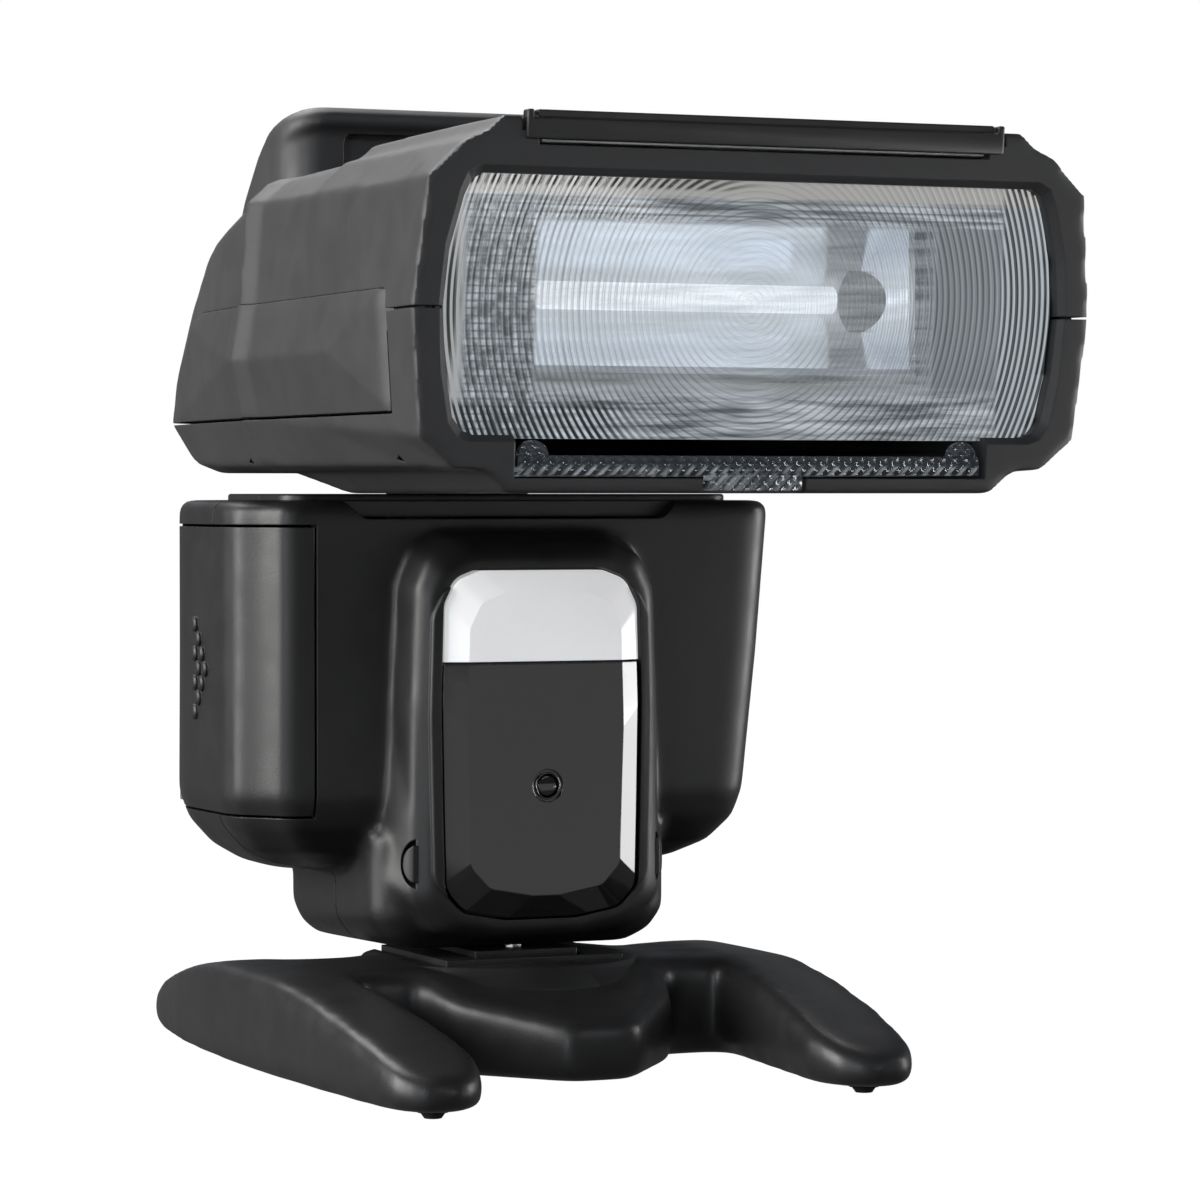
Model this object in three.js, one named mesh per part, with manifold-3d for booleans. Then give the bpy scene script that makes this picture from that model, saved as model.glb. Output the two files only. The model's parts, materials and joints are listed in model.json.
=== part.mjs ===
// Speedlight flash on its table stand. Millimetres, +Z up, front of the flash towards -Y.
// Design coordinates put z = 0 on the table and y = 0 at the lamp head's front plane;
// the root group moves them so that the origin is the bottom centre of the whole object.
import * as THREE from 'three';
import { mergeVertices } from 'three/addons/utils/BufferGeometryUtils.js';
import Module from 'manifold-3d';

const wasm = await Module();
wasm.setup();

// ---------- driving dimensions ----------
const CENTRE_Y = 53.184;          // middle of the whole object's depth, in design coordinates
const GAP = 0.3;                  // clearance between touching pieces
const SLIVER = 0.05;              // smallest volume kept after a cut, in cubic millimetres
const RAKE = -0.098;              // forward lean of the head's front, dy/dz
const SEAM_Z = 80.2;              // height of the front seam between the head shells
const PART_Z = 70.4;              // height of the rear seam between the head shells
const PART_Y = 8.3;               // where the seam steps from the front to the rear height
const HEAD_WALL = 2.6;
const INSERT_DEPTH = 1.1;
const TILT = { y: 84, z: 80, drum: 6, axle: 2.5 };
const NECK_HALF = 12;
const SWIVEL = { y: 78.5, stem: 11.5, hub: 8 };
const BODY = { front: 60, rear: 97.5, top: 61.9, plateau: 62.6, bottom: 21.2, wall: 1.6 };
const BODY_SEAM_Y = 71;
const REAR_RADIUS = 18;
const CELL = { r: 6.9, length: 49.7, left: [-24.4, -25.9], y: [69.0, 82.95], z: [34.8, 48.9] };
const WINDOW = { face: 53.0, rim: 54.4, back: 56.7, split: 44.45 };
const SHOE = { y: 66, foot: 9.2, length: 18, top: 11.3 };
const STAND = { base: 1.0, hub: 11.8 };
const TRIPOD_Y = 66;
const REFLECTOR = { half: 20.5, height: 7.2, mouth: 8.5, back: 22, z: 82.3 };
const PANEL = { y: 99.5, half: 20, low: 27.3, high: 59.2 };

// ---------- geometry helpers ----------
const box = (x0, x1, y0, y1, z0, z1) =>
  new THREE.BoxGeometry(x1 - x0, y1 - y0, z1 - z0)
    .translate((x0 + x1) / 2, (y0 + y1) / 2, (z0 + z1) / 2);

/** Cylinder or cone along an axis, from a to b. */
function rod(axis, a, b, u, v, r, r2 = r, sides = 24) {
  const geometry = new THREE.CylinderGeometry(r2, r, b - a, sides);
  const middle = (a + b) / 2;
  if (axis === 'x') {
    return geometry.rotateZ(-Math.PI / 2).translate(middle, u, v);
  }
  if (axis === 'y') {
    return geometry.translate(u, middle, v);
  }
  return geometry.rotateX(Math.PI / 2).translate(u, v, middle);
}

/** Outline in the XY plane, extruded from z0 to z1. */
function prismZ(points, z0, z1) {
  const shape = new THREE.Shape(points.map(([x, y]) => new THREE.Vector2(x, y)));
  return new THREE.ExtrudeGeometry(shape, { depth: z1 - z0, bevelEnabled: false }).translate(0, 0, z0);
}

/** Outline in the XZ plane, extruded from y0 to y1. */
function prismY(points, y0, y1) {
  const turn = new THREE.Matrix4().set(1, 0, 0, 0, 0, 0, 1, y0, 0, 1, 0, 0, 0, 0, 0, 1);
  return prismZ(points, 0, y1 - y0).applyMatrix4(turn);
}

/** Outline in the YZ plane, extruded from x0 to x1. */
function prismX(points, x0, x1) {
  const turn = new THREE.Matrix4().set(0, 0, 1, x0, 1, 0, 0, 0, 0, 1, 0, 0, 0, 0, 0, 1);
  return prismZ(points, 0, x1 - x0).applyMatrix4(turn);
}

/** Closed body through a row of rings, each with the same number of points. */
function loft(rings) {
  const count = rings[0].length;
  const positions = rings.flat().flat();
  const index = [];
  for (let r = 0; r + 1 < rings.length; r += 1) {
    for (let i = 0; i < count; i += 1) {
      const a = r * count + i;
      const b = r * count + ((i + 1) % count);
      index.push(a, b, b + count, a, b + count, a + count);
    }
  }
  for (const [r, flip] of [[0, true], [rings.length - 1, false]]) {
    const ring = rings[r];
    const flat = ring.every((p) => Math.abs(p[2] - ring[0][2]) < 1e-6);
    const outline = ring.map((p) => new THREE.Vector2(p[0], flat ? p[1] : p[2]));
    const turned = flip !== THREE.ShapeUtils.isClockWise(outline);
    for (const [a, b, c] of THREE.ShapeUtils.triangulateShape(outline, [])) {
      index.push(...(turned ? [a, c, b] : [a, b, c]).map((i) => r * count + i));
    }
  }
  const geometry = new THREE.BufferGeometry();
  geometry.setAttribute('position', new THREE.Float32BufferAttribute(positions, 3));
  geometry.setIndex(index);
  return geometry;
}

/** Solid for joining and cutting, turned outward whichever way its faces were listed. */
function solid(geometry) {
  if (geometry instanceof wasm.Manifold) {
    return geometry;
  }
  const bare = geometry.clone();
  bare.deleteAttribute('normal');
  bare.deleteAttribute('uv');
  const merged = mergeVertices(bare, 1e-4);
  const points = merged.attributes.position;
  const index = Array.from(merged.index.array);
  let volume = 0;
  const [a, b, c] = [new THREE.Vector3(), new THREE.Vector3(), new THREE.Vector3()];
  for (let i = 0; i < index.length; i += 3) {
    a.fromBufferAttribute(points, index[i]);
    b.fromBufferAttribute(points, index[i + 1]);
    c.fromBufferAttribute(points, index[i + 2]);
    volume += a.dot(b.cross(c));
  }
  if (volume < 0) {
    index.reverse();
  }
  return new wasm.Manifold(new wasm.Mesh({
    numProp: 3,
    vertProperties: Float32Array.from(points.array),
    triVerts: Uint32Array.from(index),
  }));
}

const join = (first, ...rest) => rest.reduce((sum, g) => sum.add(solid(g)), solid(first));
const cut = (first, ...rest) => rest.reduce((sum, g) => sum.subtract(solid(g)), solid(first));
const common = (first, ...rest) => rest.reduce((sum, g) => sum.intersect(solid(g)), solid(first));

/** Drops slivers that a cut along nearly matching faces can leave behind. */
function withoutSlivers(shape) {
  const bodies = shape.decompose().filter((body) => Math.abs(body.volume()) > SLIVER);
  return bodies.length === 1 ? bodies[0] : wasm.Manifold.compose(bodies);
}

function toGeometry(shape) {
  const mesh = withoutSlivers(solid(shape)).getMesh();
  const geometry = new THREE.BufferGeometry();
  geometry.setAttribute('position', new THREE.BufferAttribute(Float32Array.from(mesh.vertProperties), 3));
  geometry.setIndex(Array.from(mesh.triVerts));
  geometry.computeVertexNormals();
  return geometry;
}

const arc = (cx, cy, r, from, to, steps) =>
  Array.from({ length: steps + 1 }, (_, i) => {
    const angle = THREE.MathUtils.degToRad(from + ((to - from) * i) / steps);
    return [cx + r * Math.cos(angle), cy + r * Math.sin(angle)];
  });

/** Outline mirrored left to right: the given half runs from the top to the bottom at x > 0. */
const mirrored = (half) => [...half, ...half.slice().reverse().map(([x, z]) => [-x, z])];

// ---------- materials ----------
const LOOKS = {
  shellGrey: [0x343536, 0.55, 0],
  shellBlack: [0x1c1c1d, 0.5, 0],
  glossBlack: [0x0b0b0c, 0.08, 0],
  clear: [0xdfe8ee, 0.05, 0],
  diffuser: [0xe6e6ea, 0.3, 0],
  card: [0xf1f1ef, 0.7, 0],
  mirrorMetal: [0xe9edf2, 0.12, 1],
  steel: [0x9a9da1, 0.35, 1],
  brass: [0xb08d45, 0.4, 1],
  rubber: [0x151515, 0.9, 0],
  cell: [0x2c5f8a, 0.35, 0.3],
  board: [0x1d5a38, 0.6, 0],
  nylon: [0xc9c8c0, 0.6, 0],
  glassTube: [0xf6f9ff, 0.05, 0],
  sleeve: [0x16305e, 0.35, 0],
  screen: [0x2d3431, 0.2, 0],
};
const materials = Object.fromEntries(Object.entries(LOOKS).map(([name, [color, roughness, metalness]]) => [
  name, new THREE.MeshStandardMaterial({ color, roughness, metalness }),
]));

const flash = new THREE.Group();
flash.position.y = -CENTRE_Y;

function piece(name, shape, look) {
  const mesh = new THREE.Mesh(toGeometry(shape), materials[look]);
  mesh.name = name;
  flash.add(mesh);
  return mesh;
}

// ---------- lamp head: outer form ----------
// Half sections from front to rear: top, top bevel, shoulder, widest, low side, low bevel, bottom.
const HEAD_SECTIONS = [
  [0, [27.85, 98.3], [31.7, 95.9], [35.3, 92.4], [36.5, SEAM_Z], [35.4, 68.0], [31.75, 65.0], [28.7, 64.8]],
  [10, [28.2, 98.1], [31.9, 95.8], [35.0, 92.3], [35.9, 80.5], [35.2, 68.5], [32.3, 65.2], [30.0, 64.9]],
  [31, [28.3, 97.7], [31.5, 95.8], [34.6, 92.6], [35.2, 81.0], [34.7, 69.5], [32.6, 65.4], [30.5, 64.9]],
  [34, [28.3, 96.4], [31.1, 95.2], [34.4, 92.5], [35.1, 81.1], [34.7, 69.6], [32.6, 65.4], [30.5, 64.9]],
  [51.5, [28.5, 95.6], [31.2, 95.0], [33.7, 92.8], [34.5, 82.0], [34.2, 70.5], [32.2, 65.6], [30.0, 64.9]],
  [70, [26.0, 93.2], [29.0, 92.3], [31.6, 89.5], [32.7, 82.0], [32.6, 70.5], [30.4, 65.6], [28.0, 64.9]],
  [78, [25.0, 89.5], [28.0, 88.4], [30.6, 85.5], [31.7, 80.0], [31.7, 70.5], [29.6, 65.8], [27.0, 64.9]],
  [85, [24.0, 84.3], [27.0, 83.2], [29.6, 80.5], [30.8, 76.0], [30.9, 70.5], [28.6, 66.0], [26.0, 65.0]],
  [91, [22.0, 78.6], [25.0, 77.6], [27.4, 75.6], [28.9, 73.4], [29.4, 70.4], [27.2, 67.3], [24.0, 66.2]],
  [95, [20.0, 73.9], [22.5, 73.2], [24.4, 72.2], [25.4, 71.2], [25.6, 70.2], [24.0, 68.9], [21.0, 68.1]],
  [96.6, [17.0, 71.3], [19.0, 71.1], [20.5, 70.9], [21.0, 70.6], [21.0, 70.2], [20.0, 69.9], [17.0, 69.8]],
];

/** One ring of the head, drawn in by a wall on its sides, top and bottom. */
function headRing([y, ...half], side = 0, cap = 0) {
  const centre = (half[0][1] + half[6][1]) / 2;
  const inset = half.map(([x, z]) => [x - side, z - cap * Math.sign(z - centre)]);
  const lean = y === 0 ? RAKE : 0;
  return mirrored(inset).map(([x, z]) => [x, y + lean * (z - SEAM_Z), z]);
}

const headOuter = loft(HEAD_SECTIONS.map((s) => headRing(s)));
const headSkinInside = loft([
  headRing([-4, ...HEAD_SECTIONS[0].slice(1)], INSERT_DEPTH, INSERT_DEPTH),
  ...HEAD_SECTIONS.slice(1).map((s) => headRing(s, INSERT_DEPTH, 0)),
]);
const headBehindInsert = loft([
  headRing([-4, ...HEAD_SECTIONS[0].slice(1)], INSERT_DEPTH + GAP, INSERT_DEPTH),
  ...HEAD_SECTIONS.slice(1).map((s) => headRing(s, INSERT_DEPTH + GAP, 0)),
]);
const headInner = loft([
  headRing([4.6, ...HEAD_SECTIONS[0].slice(1)], HEAD_WALL, 1.8),
  ...HEAD_SECTIONS.slice(1, 8).map((s) => headRing(s, HEAD_WALL, 1.8)),
]);

// Raised housing across the rear of the top, which covers the main capacitor.
const HUMP_HALF = 24;
const HUMP = [
  [60.2, 93], [60.2, 101.6], [59.4, 102.2], [59.6, 103.5], [61.4, 104.2],
  [65.6, 103.4], [70.4, 100.6], [75.2, 95.6], [79, 88], [70, 88],
];
function humpRing(x, grow) {
  return HUMP.map(([y, z]) => [x, 68 + (y - 68) * grow, 90 + (z - 90) * grow]);
}
const hump = solid(prismX(HUMP, -HUMP_HALF, HUMP_HALF))
  .add(solid(prismX(humpRing(0, 0.93).map(([, y, z]) => [y, z]), -HUMP_HALF - 1.6, HUMP_HALF + 1.6)))
  .add(solid(prismX(humpRing(0, 0.82).map(([, y, z]) => [y, z]), -HUMP_HALF - 2.6, HUMP_HALF + 2.6)));
const humpInside = prismX([[62.2, 90], [62.2, 101.5], [65, 101.4], [69.4, 98.6], [73.6, 94.2], [76, 90]], -22.4, 22.4);

// Shallow belly under the front of the head, which holds the stowed wide panel.
const BELLY_HALF = [28.7, 26.1];
const bellyRing = (y, low, lean = 0) =>
  [[-BELLY_HALF[0], 66], [BELLY_HALF[0], 66], [BELLY_HALF[0], 64.8], [BELLY_HALF[1], low],
    [-BELLY_HALF[1], low], [-BELLY_HALF[0], 64.8]].map(([x, z]) => [x, y + lean * (z - SEAM_Z), z]);
const belly = loft([bellyRing(0, 62.65, RAKE), bellyRing(44, 62.65), bellyRing(49, 63.2), bellyRing(53.5, 64.6)]);

// Slot that the neck stands in, open below and behind so that the head can tilt up.
const NECK_SLOT = [
  [64.5, 60], [64.5, 66.2], [75.6, 79.9], [77.6, 84.1], [80.4, 86.1], [83.6, 86.7], [101, 86.7], [101, 60],
];
const neckSlot = prismX(NECK_SLOT, -NECK_HALF - 0.4, NECK_HALF + 0.4);
const NECK_WALL = [
  [62.6, 62], [62.6, 67], [73.7, 80.9], [76, 85.5], [79.4, 88.1], [83.6, 88.7], [101, 88.7], [101, 62],
];
const neckWall = prismX(NECK_WALL, -NECK_HALF - 2.4, NECK_HALF + 2.4);
const axleHole = rod('x', -15.4, 15.4, TILT.y, TILT.z, TILT.axle + GAP);

// Lens opening, bowed at the sides.
const LENS_HALF = [
  [29.4, 92.9], [30.7, 92.2], [31.4, 90.6], [32.7, 85.6], [33.15, 80.3], [32.7, 74.6], [31.8, 69.9], [30.8, 68.6], [29.6, 68.2],
];
const lensOutline = (grow) => mirrored(LENS_HALF.map(([x, z]) => [x + grow, z + grow * Math.sign(z - 80)]));
/** Turns a plate drawn upright into the leaning plane of the head's front. */
const lean = (geometry) => {
  const shear = new THREE.Matrix4().set(1, 0, 0, 0, 0, 1, RAKE, -RAKE * SEAM_Z, 0, 0, 1, 0, 0, 0, 0, 1);
  return geometry.applyMatrix4(shear);
};
const prismLean = (points, y0, y1) => lean(prismY(points, y0, y1));

const CARD = { half: 23.8, low: 95.9, high: 96.7, length: 29 };
const WIDE = { half: 25, low: 64.4, high: 66.3, length: 38 };
const cardSlot = box(-CARD.half - 0.4, CARD.half + 0.4, -4, CARD.length + 1.6, CARD.low - GAP, CARD.high + GAP);
const tabRecess = box(-26, 26, -4, 1.6, CARD.high + GAP, 100);
const wideSlot = box(-WIDE.half - 0.5, WIDE.half + 0.5, -1, WIDE.length + 3, WIDE.low - GAP, WIDE.high + GAP);
const wideWell = box(-WIDE.half - 0.5, WIDE.half + 0.5, 6, WIDE.length + 3, WIDE.low, 67.4);
const tabNotch = box(-5.4, 5.4, -2, 3.4, 62, WIDE.low);

// Side inserts: y, z outline of the inlaid panels.
const INSERT = [[8.8, 70.75], [8.6, 82.1], [71.5, 82.0], [76, 81.0], [79.2, 78.4], [84.6, 70.75]];
const insertRecess = (side) => prismX(
  INSERT.map(([y, z]) => [y + 0.25 * Math.sign(y - 40), z + 0.25 * Math.sign(z - 76)]),
  ...(side < 0 ? [-40, -20] : [20, 40]),
);
const skin = cut(headOuter, headSkinInside);

const headForm = cut(
  join(headOuter, hump, belly),
  cut(headInner, neckWall),
  cut(humpInside, neckWall),
  neckSlot, axleHole, prismLean(lensOutline(0), -6, 7), cardSlot, tabRecess, wideSlot, wideWell, tabNotch,
  cut(join(insertRecess(-1), insertRecess(1)), headBehindInsert),
);
const FAR = 130;
const frontLow = box(-FAR, FAR, -FAR, PART_Y - GAP / 2, 0, SEAM_Z - GAP / 2);
const rearLow = box(-FAR, FAR, -FAR, FAR, 0, PART_Z - GAP / 2);
const frontHigh = box(-FAR, FAR, -FAR, PART_Y + GAP / 2, 0, SEAM_Z + GAP / 2);

piece('head_upper_shell', cut(headForm, frontHigh, box(-FAR, FAR, -FAR, FAR, 0, PART_Z + GAP / 2)), 'shellGrey');
piece('head_lower_shell', common(headForm, join(frontLow, rearLow)), 'shellGrey');
for (const [name, side] of [['side_insert_left', -1], ['side_insert_right', 1]]) {
  piece(name, common(skin, prismX(INSERT, ...(side < 0 ? [-40, -20] : [20, 40]))), 'shellGrey');
}

// ---------- lamp head: optics and pull-outs ----------
piece('fresnel_lens', prismLean(lensOutline(-GAP), 1.4, 3.6), 'clear');
piece('lens_frame', cut(
  prismLean(lensOutline(-0.35), 3.9, 6.2),
  prismLean(lensOutline(-1.9), 0, 9),
), 'shellBlack');
piece('bounce_card', box(-CARD.half, CARD.half, -1.2, CARD.length, CARD.low, CARD.high), 'card');
piece('bounce_card_tab', lean(box(-25.6, 25.6, -0.1, 1.0, CARD.high + 0.55, 98.9)), 'shellBlack');
piece('wide_panel', join(
  box(-WIDE.half, WIDE.half, 1.9, WIDE.length, WIDE.low, WIDE.high),
  box(-5, 5, 1.9, 3.0, 62.9, WIDE.low + 0.2),
), 'clear');

const troughRing = (y, w, h) => [[-w, -h], [w, -h], [w, h], [-w, h]].map(([x, z]) => [x, y, REFLECTOR.z + z]);
/** Bathtub form of the reflector: its mouth faces the lens, and it narrows towards the tube. */
const trough = (front, wall, back) => loft([
  troughRing(front, REFLECTOR.half + wall, REFLECTOR.height + wall),
  troughRing(13, REFLECTOR.half - 1.2 + wall, REFLECTOR.height - 1 + wall),
  troughRing(18, REFLECTOR.half - 2.4 + wall, REFLECTOR.height - 2.9 + wall),
  troughRing(back, REFLECTOR.half - 3.4 + wall, 1.7 + wall),
]);
piece('reflector', cut(trough(REFLECTOR.mouth, 0.7, REFLECTOR.back), trough(REFLECTOR.mouth - 0.1, 0, 21.3)), 'mirrorMetal');
piece('flash_tube', rod('x', -16.2, 16.2, 17.2, REFLECTOR.z, 1.4, 1.4, 16), 'glassTube');

// ---------- lamp head: zoom drive, capacitor and trigger board ----------
const ZOOM = { rodX: 28.4, rodZ: 74.2, screwX: 27.2, screwZ: 84, plate: 23, rear: 54 };
piece('zoom_carriage', cut(
  join(
    box(-31, 31, ZOOM.plate, ZOOM.plate + 2.4, 71.5, 89),
    box(-24, 24, ZOOM.plate, ZOOM.plate + 2.4, 88, 92),
    box(-24, 24, ZOOM.plate - 14, ZOOM.plate + 1, 91, 92.6),
    box(-24, 24, ZOOM.plate - 14, ZOOM.plate + 1, 72.2, 73.6),
    rod('y', ZOOM.plate + 1, ZOOM.plate + 7, -ZOOM.rodX, ZOOM.rodZ, 2.3, 2.3, 16),
    rod('y', ZOOM.plate + 1, ZOOM.plate + 7, ZOOM.screwX, ZOOM.screwZ, 2.4, 2.4, 16),
  ),
  rod('y', 0, 60, -ZOOM.rodX, ZOOM.rodZ, 1.3, 1.3, 16),
  rod('y', 0, 60, ZOOM.rodX, ZOOM.rodZ, 1.3, 1.3, 16),
  rod('y', 0, 60, ZOOM.screwX, ZOOM.screwZ, 1.6, 1.6, 16),
), 'nylon');
for (const [name, x] of [['guide_rod_left', -ZOOM.rodX], ['guide_rod_right', ZOOM.rodX]]) {
  piece(name, rod('y', 8, ZOOM.rear, x, ZOOM.rodZ, 1, 1, 12), 'steel');
}
piece('lead_screw', rod('y', 9, ZOOM.rear - 3, ZOOM.screwX, ZOOM.screwZ, 1.25, 1.25, 12), 'steel');
piece('zoom_motor', join(
  rod('y', ZOOM.rear - 2.4, ZOOM.rear + 7, ZOOM.screwX - 1.4, ZOOM.screwZ, 4, 4, 20),
  box(ZOOM.screwX - 5.4, ZOOM.screwX + 2.4, ZOOM.rear - 2.7, ZOOM.rear - 1.9, 78.8, 89.2),
), 'steel');
piece('main_capacitor', rod('x', -21.5, 21.5, 67.6, 92.6, 5, 5, 28), 'sleeve');
piece('trigger_board', join(
  box(-20, 20, 50.5, 51.7, 70, 92),
  box(-16, -7, 44.5, 51, 80, 89),
  box(4, 14, 46, 51, 74, 82),
), 'board');

// ---------- neck between body and head ----------
const neckSide = [
  [67, 64.6], [78.6, 77.5], ...arc(TILT.y, TILT.z, TILT.drum, 155, 0, 10), [90, 66.4], [89, 64.6],
];
piece('neck', cut(
  join(
    prismX(neckSide, -NECK_HALF, NECK_HALF),
    rod('z', 62.9, 65, 0, SWIVEL.y, SWIVEL.stem, SWIVEL.stem, 36),
    rod('z', 59.2, 63.5, 0, SWIVEL.y, SWIVEL.hub, SWIVEL.hub, 32),
  ),
  rod('x', -20, 20, TILT.y, TILT.z, TILT.axle + 0.2),
  rod('z', 50, 66, 0, SWIVEL.y, 4),
), 'shellBlack');
piece('tilt_axle', rod('x', -14.2, 14.2, TILT.y, TILT.z, TILT.axle), 'steel');
piece('swivel_ring', cut(rod('z', 57.4, 58.9, 0, SWIVEL.y, 10.4, 10.4, 32), rod('z', 50, 60, 0, SWIVEL.y, 4)), 'steel');

// ---------- body: outer form ----------
/** Plan outline of the body: stepped front left corner, round rear corners. */
function bodyOutline(left, right, inset = 0) {
  const front = BODY.front + inset;
  const rear = BODY.rear - inset;
  const l = left - inset;
  const r = right - inset;
  const big = REAR_RADIUS - inset;
  const small = Math.max(4 - inset, 1.5);
  return [
    ...arc(r - small, front + small, small, -90, 0, 4),
    ...arc(r - big, rear - big, big, 0, 90, 6),
    ...arc(-l + big, rear - big, big, 90, 180, 6),
    [-l, front + 8], [-l + 0.7, front + 5.4], [-l + 2.4, front + 3.6], [-l + 3.2, front + 2.6],
    [-l + 4.2, front + 0.9], [-l + 5.6, front + 0.2], [-l + 7.4, front],
  ];
}
// Height, left and right half width, extra inset of the whole outline.
const BODY_LEVELS = [
  [BODY.bottom, 31.6, 28.2, 9.5], [22.0, 31.6, 28.2, 6.6], [23.8, 31.6, 28.2, 3.5], [26.6, 31.6, 28.2, 1.0],
  [29.6, 31.7, 28.3, 0], [45, 31.6, 30.0, 0], [61.1, 31.6, 31.4, 0], [BODY.top, 31.6, 31.4, 0.8],
];
const bodyLoft = (wall, low, high) => loft(BODY_LEVELS
  .map(([z, l, r, inset]) => [Math.min(Math.max(z, low), high), l, r, inset + wall])
  .map(([z, l, r, inset]) => bodyOutline(l, r, inset).map(([x, y]) => [x, y, z])));
const bodyOuter = bodyLoft(0, 0, 99);
const bodyInner = loft([[23.7, 31.6, 28.2, 4.6], [27.0, 31.6, 28.2, BODY.wall], [29.6, 31.7, 28.3, BODY.wall],
  [45, 31.6, 30, BODY.wall], [60.1, 31.6, 31.4, BODY.wall]]
  .map(([z, l, r, inset]) => bodyOutline(l, r, inset).map(([x, y]) => [x, y, z])));
const plateau = prismZ([
  ...arc(23.5, 64.8, 3, -90, 0, 3), ...arc(13, 80, 13, 0, 90, 5), ...arc(-13, 80, 13, 90, 180, 5),
  ...arc(-23.5, 64.8, 3, 180, 270, 3),
], 61, BODY.plateau);
const frontScoop = prismY([[-22, 62.4], [-18.4, 59.9], [17.2, 59.9], [20.6, 62.4]], 50, 61.6);

// Raised window tower on the front, flaring into the body.
const TOWER_RIM = [[0, 55.9], [8.0, 55.8], [11.2, 54.4], [12.8, 51.2], [13.0, 40], [12.7, 28], [12.5, 19.2], [9.9, 16.4], [4.5, 15.3], [0.1, 15.2]];
const TOWER_MID = [[0, 57.6], [9.0, 57.5], [12.4, 55.9], [14.0, 52.4], [14.4, 40], [14.5, 28], [14.6, 18.8], [11.6, 15.5], [5.0, 14.5], [0.1, 14.4]];
const TOWER_BASE = [[0, 58.7], [9.8, 58.6], [13.2, 57.0], [14.8, 53.0], [15.5, 40], [16.4, 28], [17.2, 20.6], [13, 15.0], [6.0, 13.9], [0.1, 13.8]];
const towerRing = (half, y) => mirrored(half.slice(1)).map(([x, z]) => [x, y, z]);
const tower = loft([towerRing(TOWER_RIM, WINDOW.rim), towerRing(TOWER_MID, 55.8), towerRing(TOWER_BASE, 60.6)]);

// Foot block under the body, which carries the shoe.
const footOutline = (inset) => [
  ...arc(13.5 - inset, 62 - 0, 4 - inset, -90, 0, 3), ...arc(13.5 - inset, 84 - inset, 4, 0, 90, 3),
  ...arc(-13.5 + inset, 84 - inset, 4, 90, 180, 3), ...arc(-13.5 + inset, 62 - 0, 4 - inset, 180, 270, 3),
];
const footBlock = loft([[13.2, 2.2], [14.6, 0.8], [16.8, 0], [24, 0]].map(([z, inset]) =>
  footOutline(inset).map(([x, y]) => [x, y, z])));

// Window opening in the tower.
const WINDOW_HALF = [[7.4, 54.6], [10.1, 53.6], [11.5, 50.8], [11.8, 40], [11.6, 28], [11.4, 19.8], [9.2, 17.5], [4.2, 16.6]];
const windowPocket = prismY(mirrored(WINDOW_HALF), 40, WINDOW.back + GAP);
const LOCK = { y: 56.9, z: 22.9, r: 2.2, inner: 12.35, outer: 15 };
const lockRod = (side, from, to, grow) => {
  const ends = [side * from, side * to].sort((a, b) => a - b);
  return rod('x', ends[0], ends[1], LOCK.y, LOCK.z, LOCK.r + grow, LOCK.r + grow, 28);
};
const lockHole = (side) => lockRod(side, LOCK.inner - 0.9, 20, 0.35);

// Battery door: wraps the front left corner.
const DOOR = { low: 28, high: 59, x: -24, rear: 87.1 };
const HINGE = { x: -29.9, y: 87.6, r: 0.75 };
const doorRegion = (grow) =>
  box(-40, DOOR.x + grow, 50, DOOR.rear + grow * 4.6, DOOR.low - grow, DOOR.high + grow);
const doorSkin = cut(bodyOuter, bodyLoft(BODY.wall, 0, 99), box(-40, 40, 50, 99, 0, DOOR.low - 1));

const panelPocket = box(-PANEL.half - GAP, PANEL.half + GAP, 95.4, 110, PANEL.low - GAP, PANEL.high + GAP);
const swivelHole = rod('z', 57, 70, 0, SWIVEL.y, SWIVEL.hub + 0.35, SWIVEL.hub + 0.35, 32);
const ringRoom = rod('z', 57, 60.1, 0, SWIVEL.y, 11, 11, 32);
const pinWell = rod('z', 5, 22.6, 0, 62.3, 1.35, 1.35, 16);
const bodyForm = cut(
  join(bodyOuter, plateau, tower, footBlock),
  bodyInner, frontScoop, windowPocket, lockHole(-1), lockHole(1), doorRegion(GAP), panelPocket, swivelHole, ringRoom,
  box(-9.6, 9.6, 50, 63, 46, 53), box(-12, 12, 63, 83, 16.5, 30), pinWell,
);
piece('body_front_shell', common(bodyForm, box(-FAR, FAR, -FAR, BODY_SEAM_Y - GAP / 2, 0, FAR)), 'shellBlack');
piece('body_rear_shell', common(bodyForm, box(-FAR, FAR, BODY_SEAM_Y + GAP / 2, FAR, 0, FAR)), 'shellBlack');

// ---------- window: AF lamp lens, black panel and sensor ----------
const windowRing = (y, inset, low, high) => mirrored(WINDOW_HALF
  .map(([x, z]) => [x - GAP - inset, Math.min(Math.max(z + (inset + GAP) * Math.sign(35 - z), low), high)]))
  .map(([x, z]) => [x, y, z]);
const bevelled = (low, high) => loft([
  windowRing(WINDOW.face, 2.4, low, high), windowRing(WINDOW.rim - 0.2, 0, low, high), windowRing(WINDOW.back, 0, low, high),
]);
const clampWindow = (low, high) => common(bevelled(16.9, 54.3), box(-20, 20, 50, 60, low, high));
piece('led_lens', clampWindow(WINDOW.split + 0.15, 60), 'diffuser');
piece('window_panel', cut(clampWindow(10, WINDOW.split - 0.15), rod('y', 50, 60, 0.2, 31.1, 1.5, 1.5, 20)), 'glossBlack');
piece('sensor_window', rod('y', 53.2, 56.6, 0.2, 31.1, 1.2, 1.2, 20), 'glossBlack');
piece('led_board', join(box(-9, 9, 57.2, 58.3, 46.3, 52.7), box(-6, -2, 56.95, 57.4, 47.6, 51.6).translate(0, 0.1, 0),
  box(2, 6, 56.95, 57.4, 47.6, 51.6).translate(0, 0.1, 0)), 'board');

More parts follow.
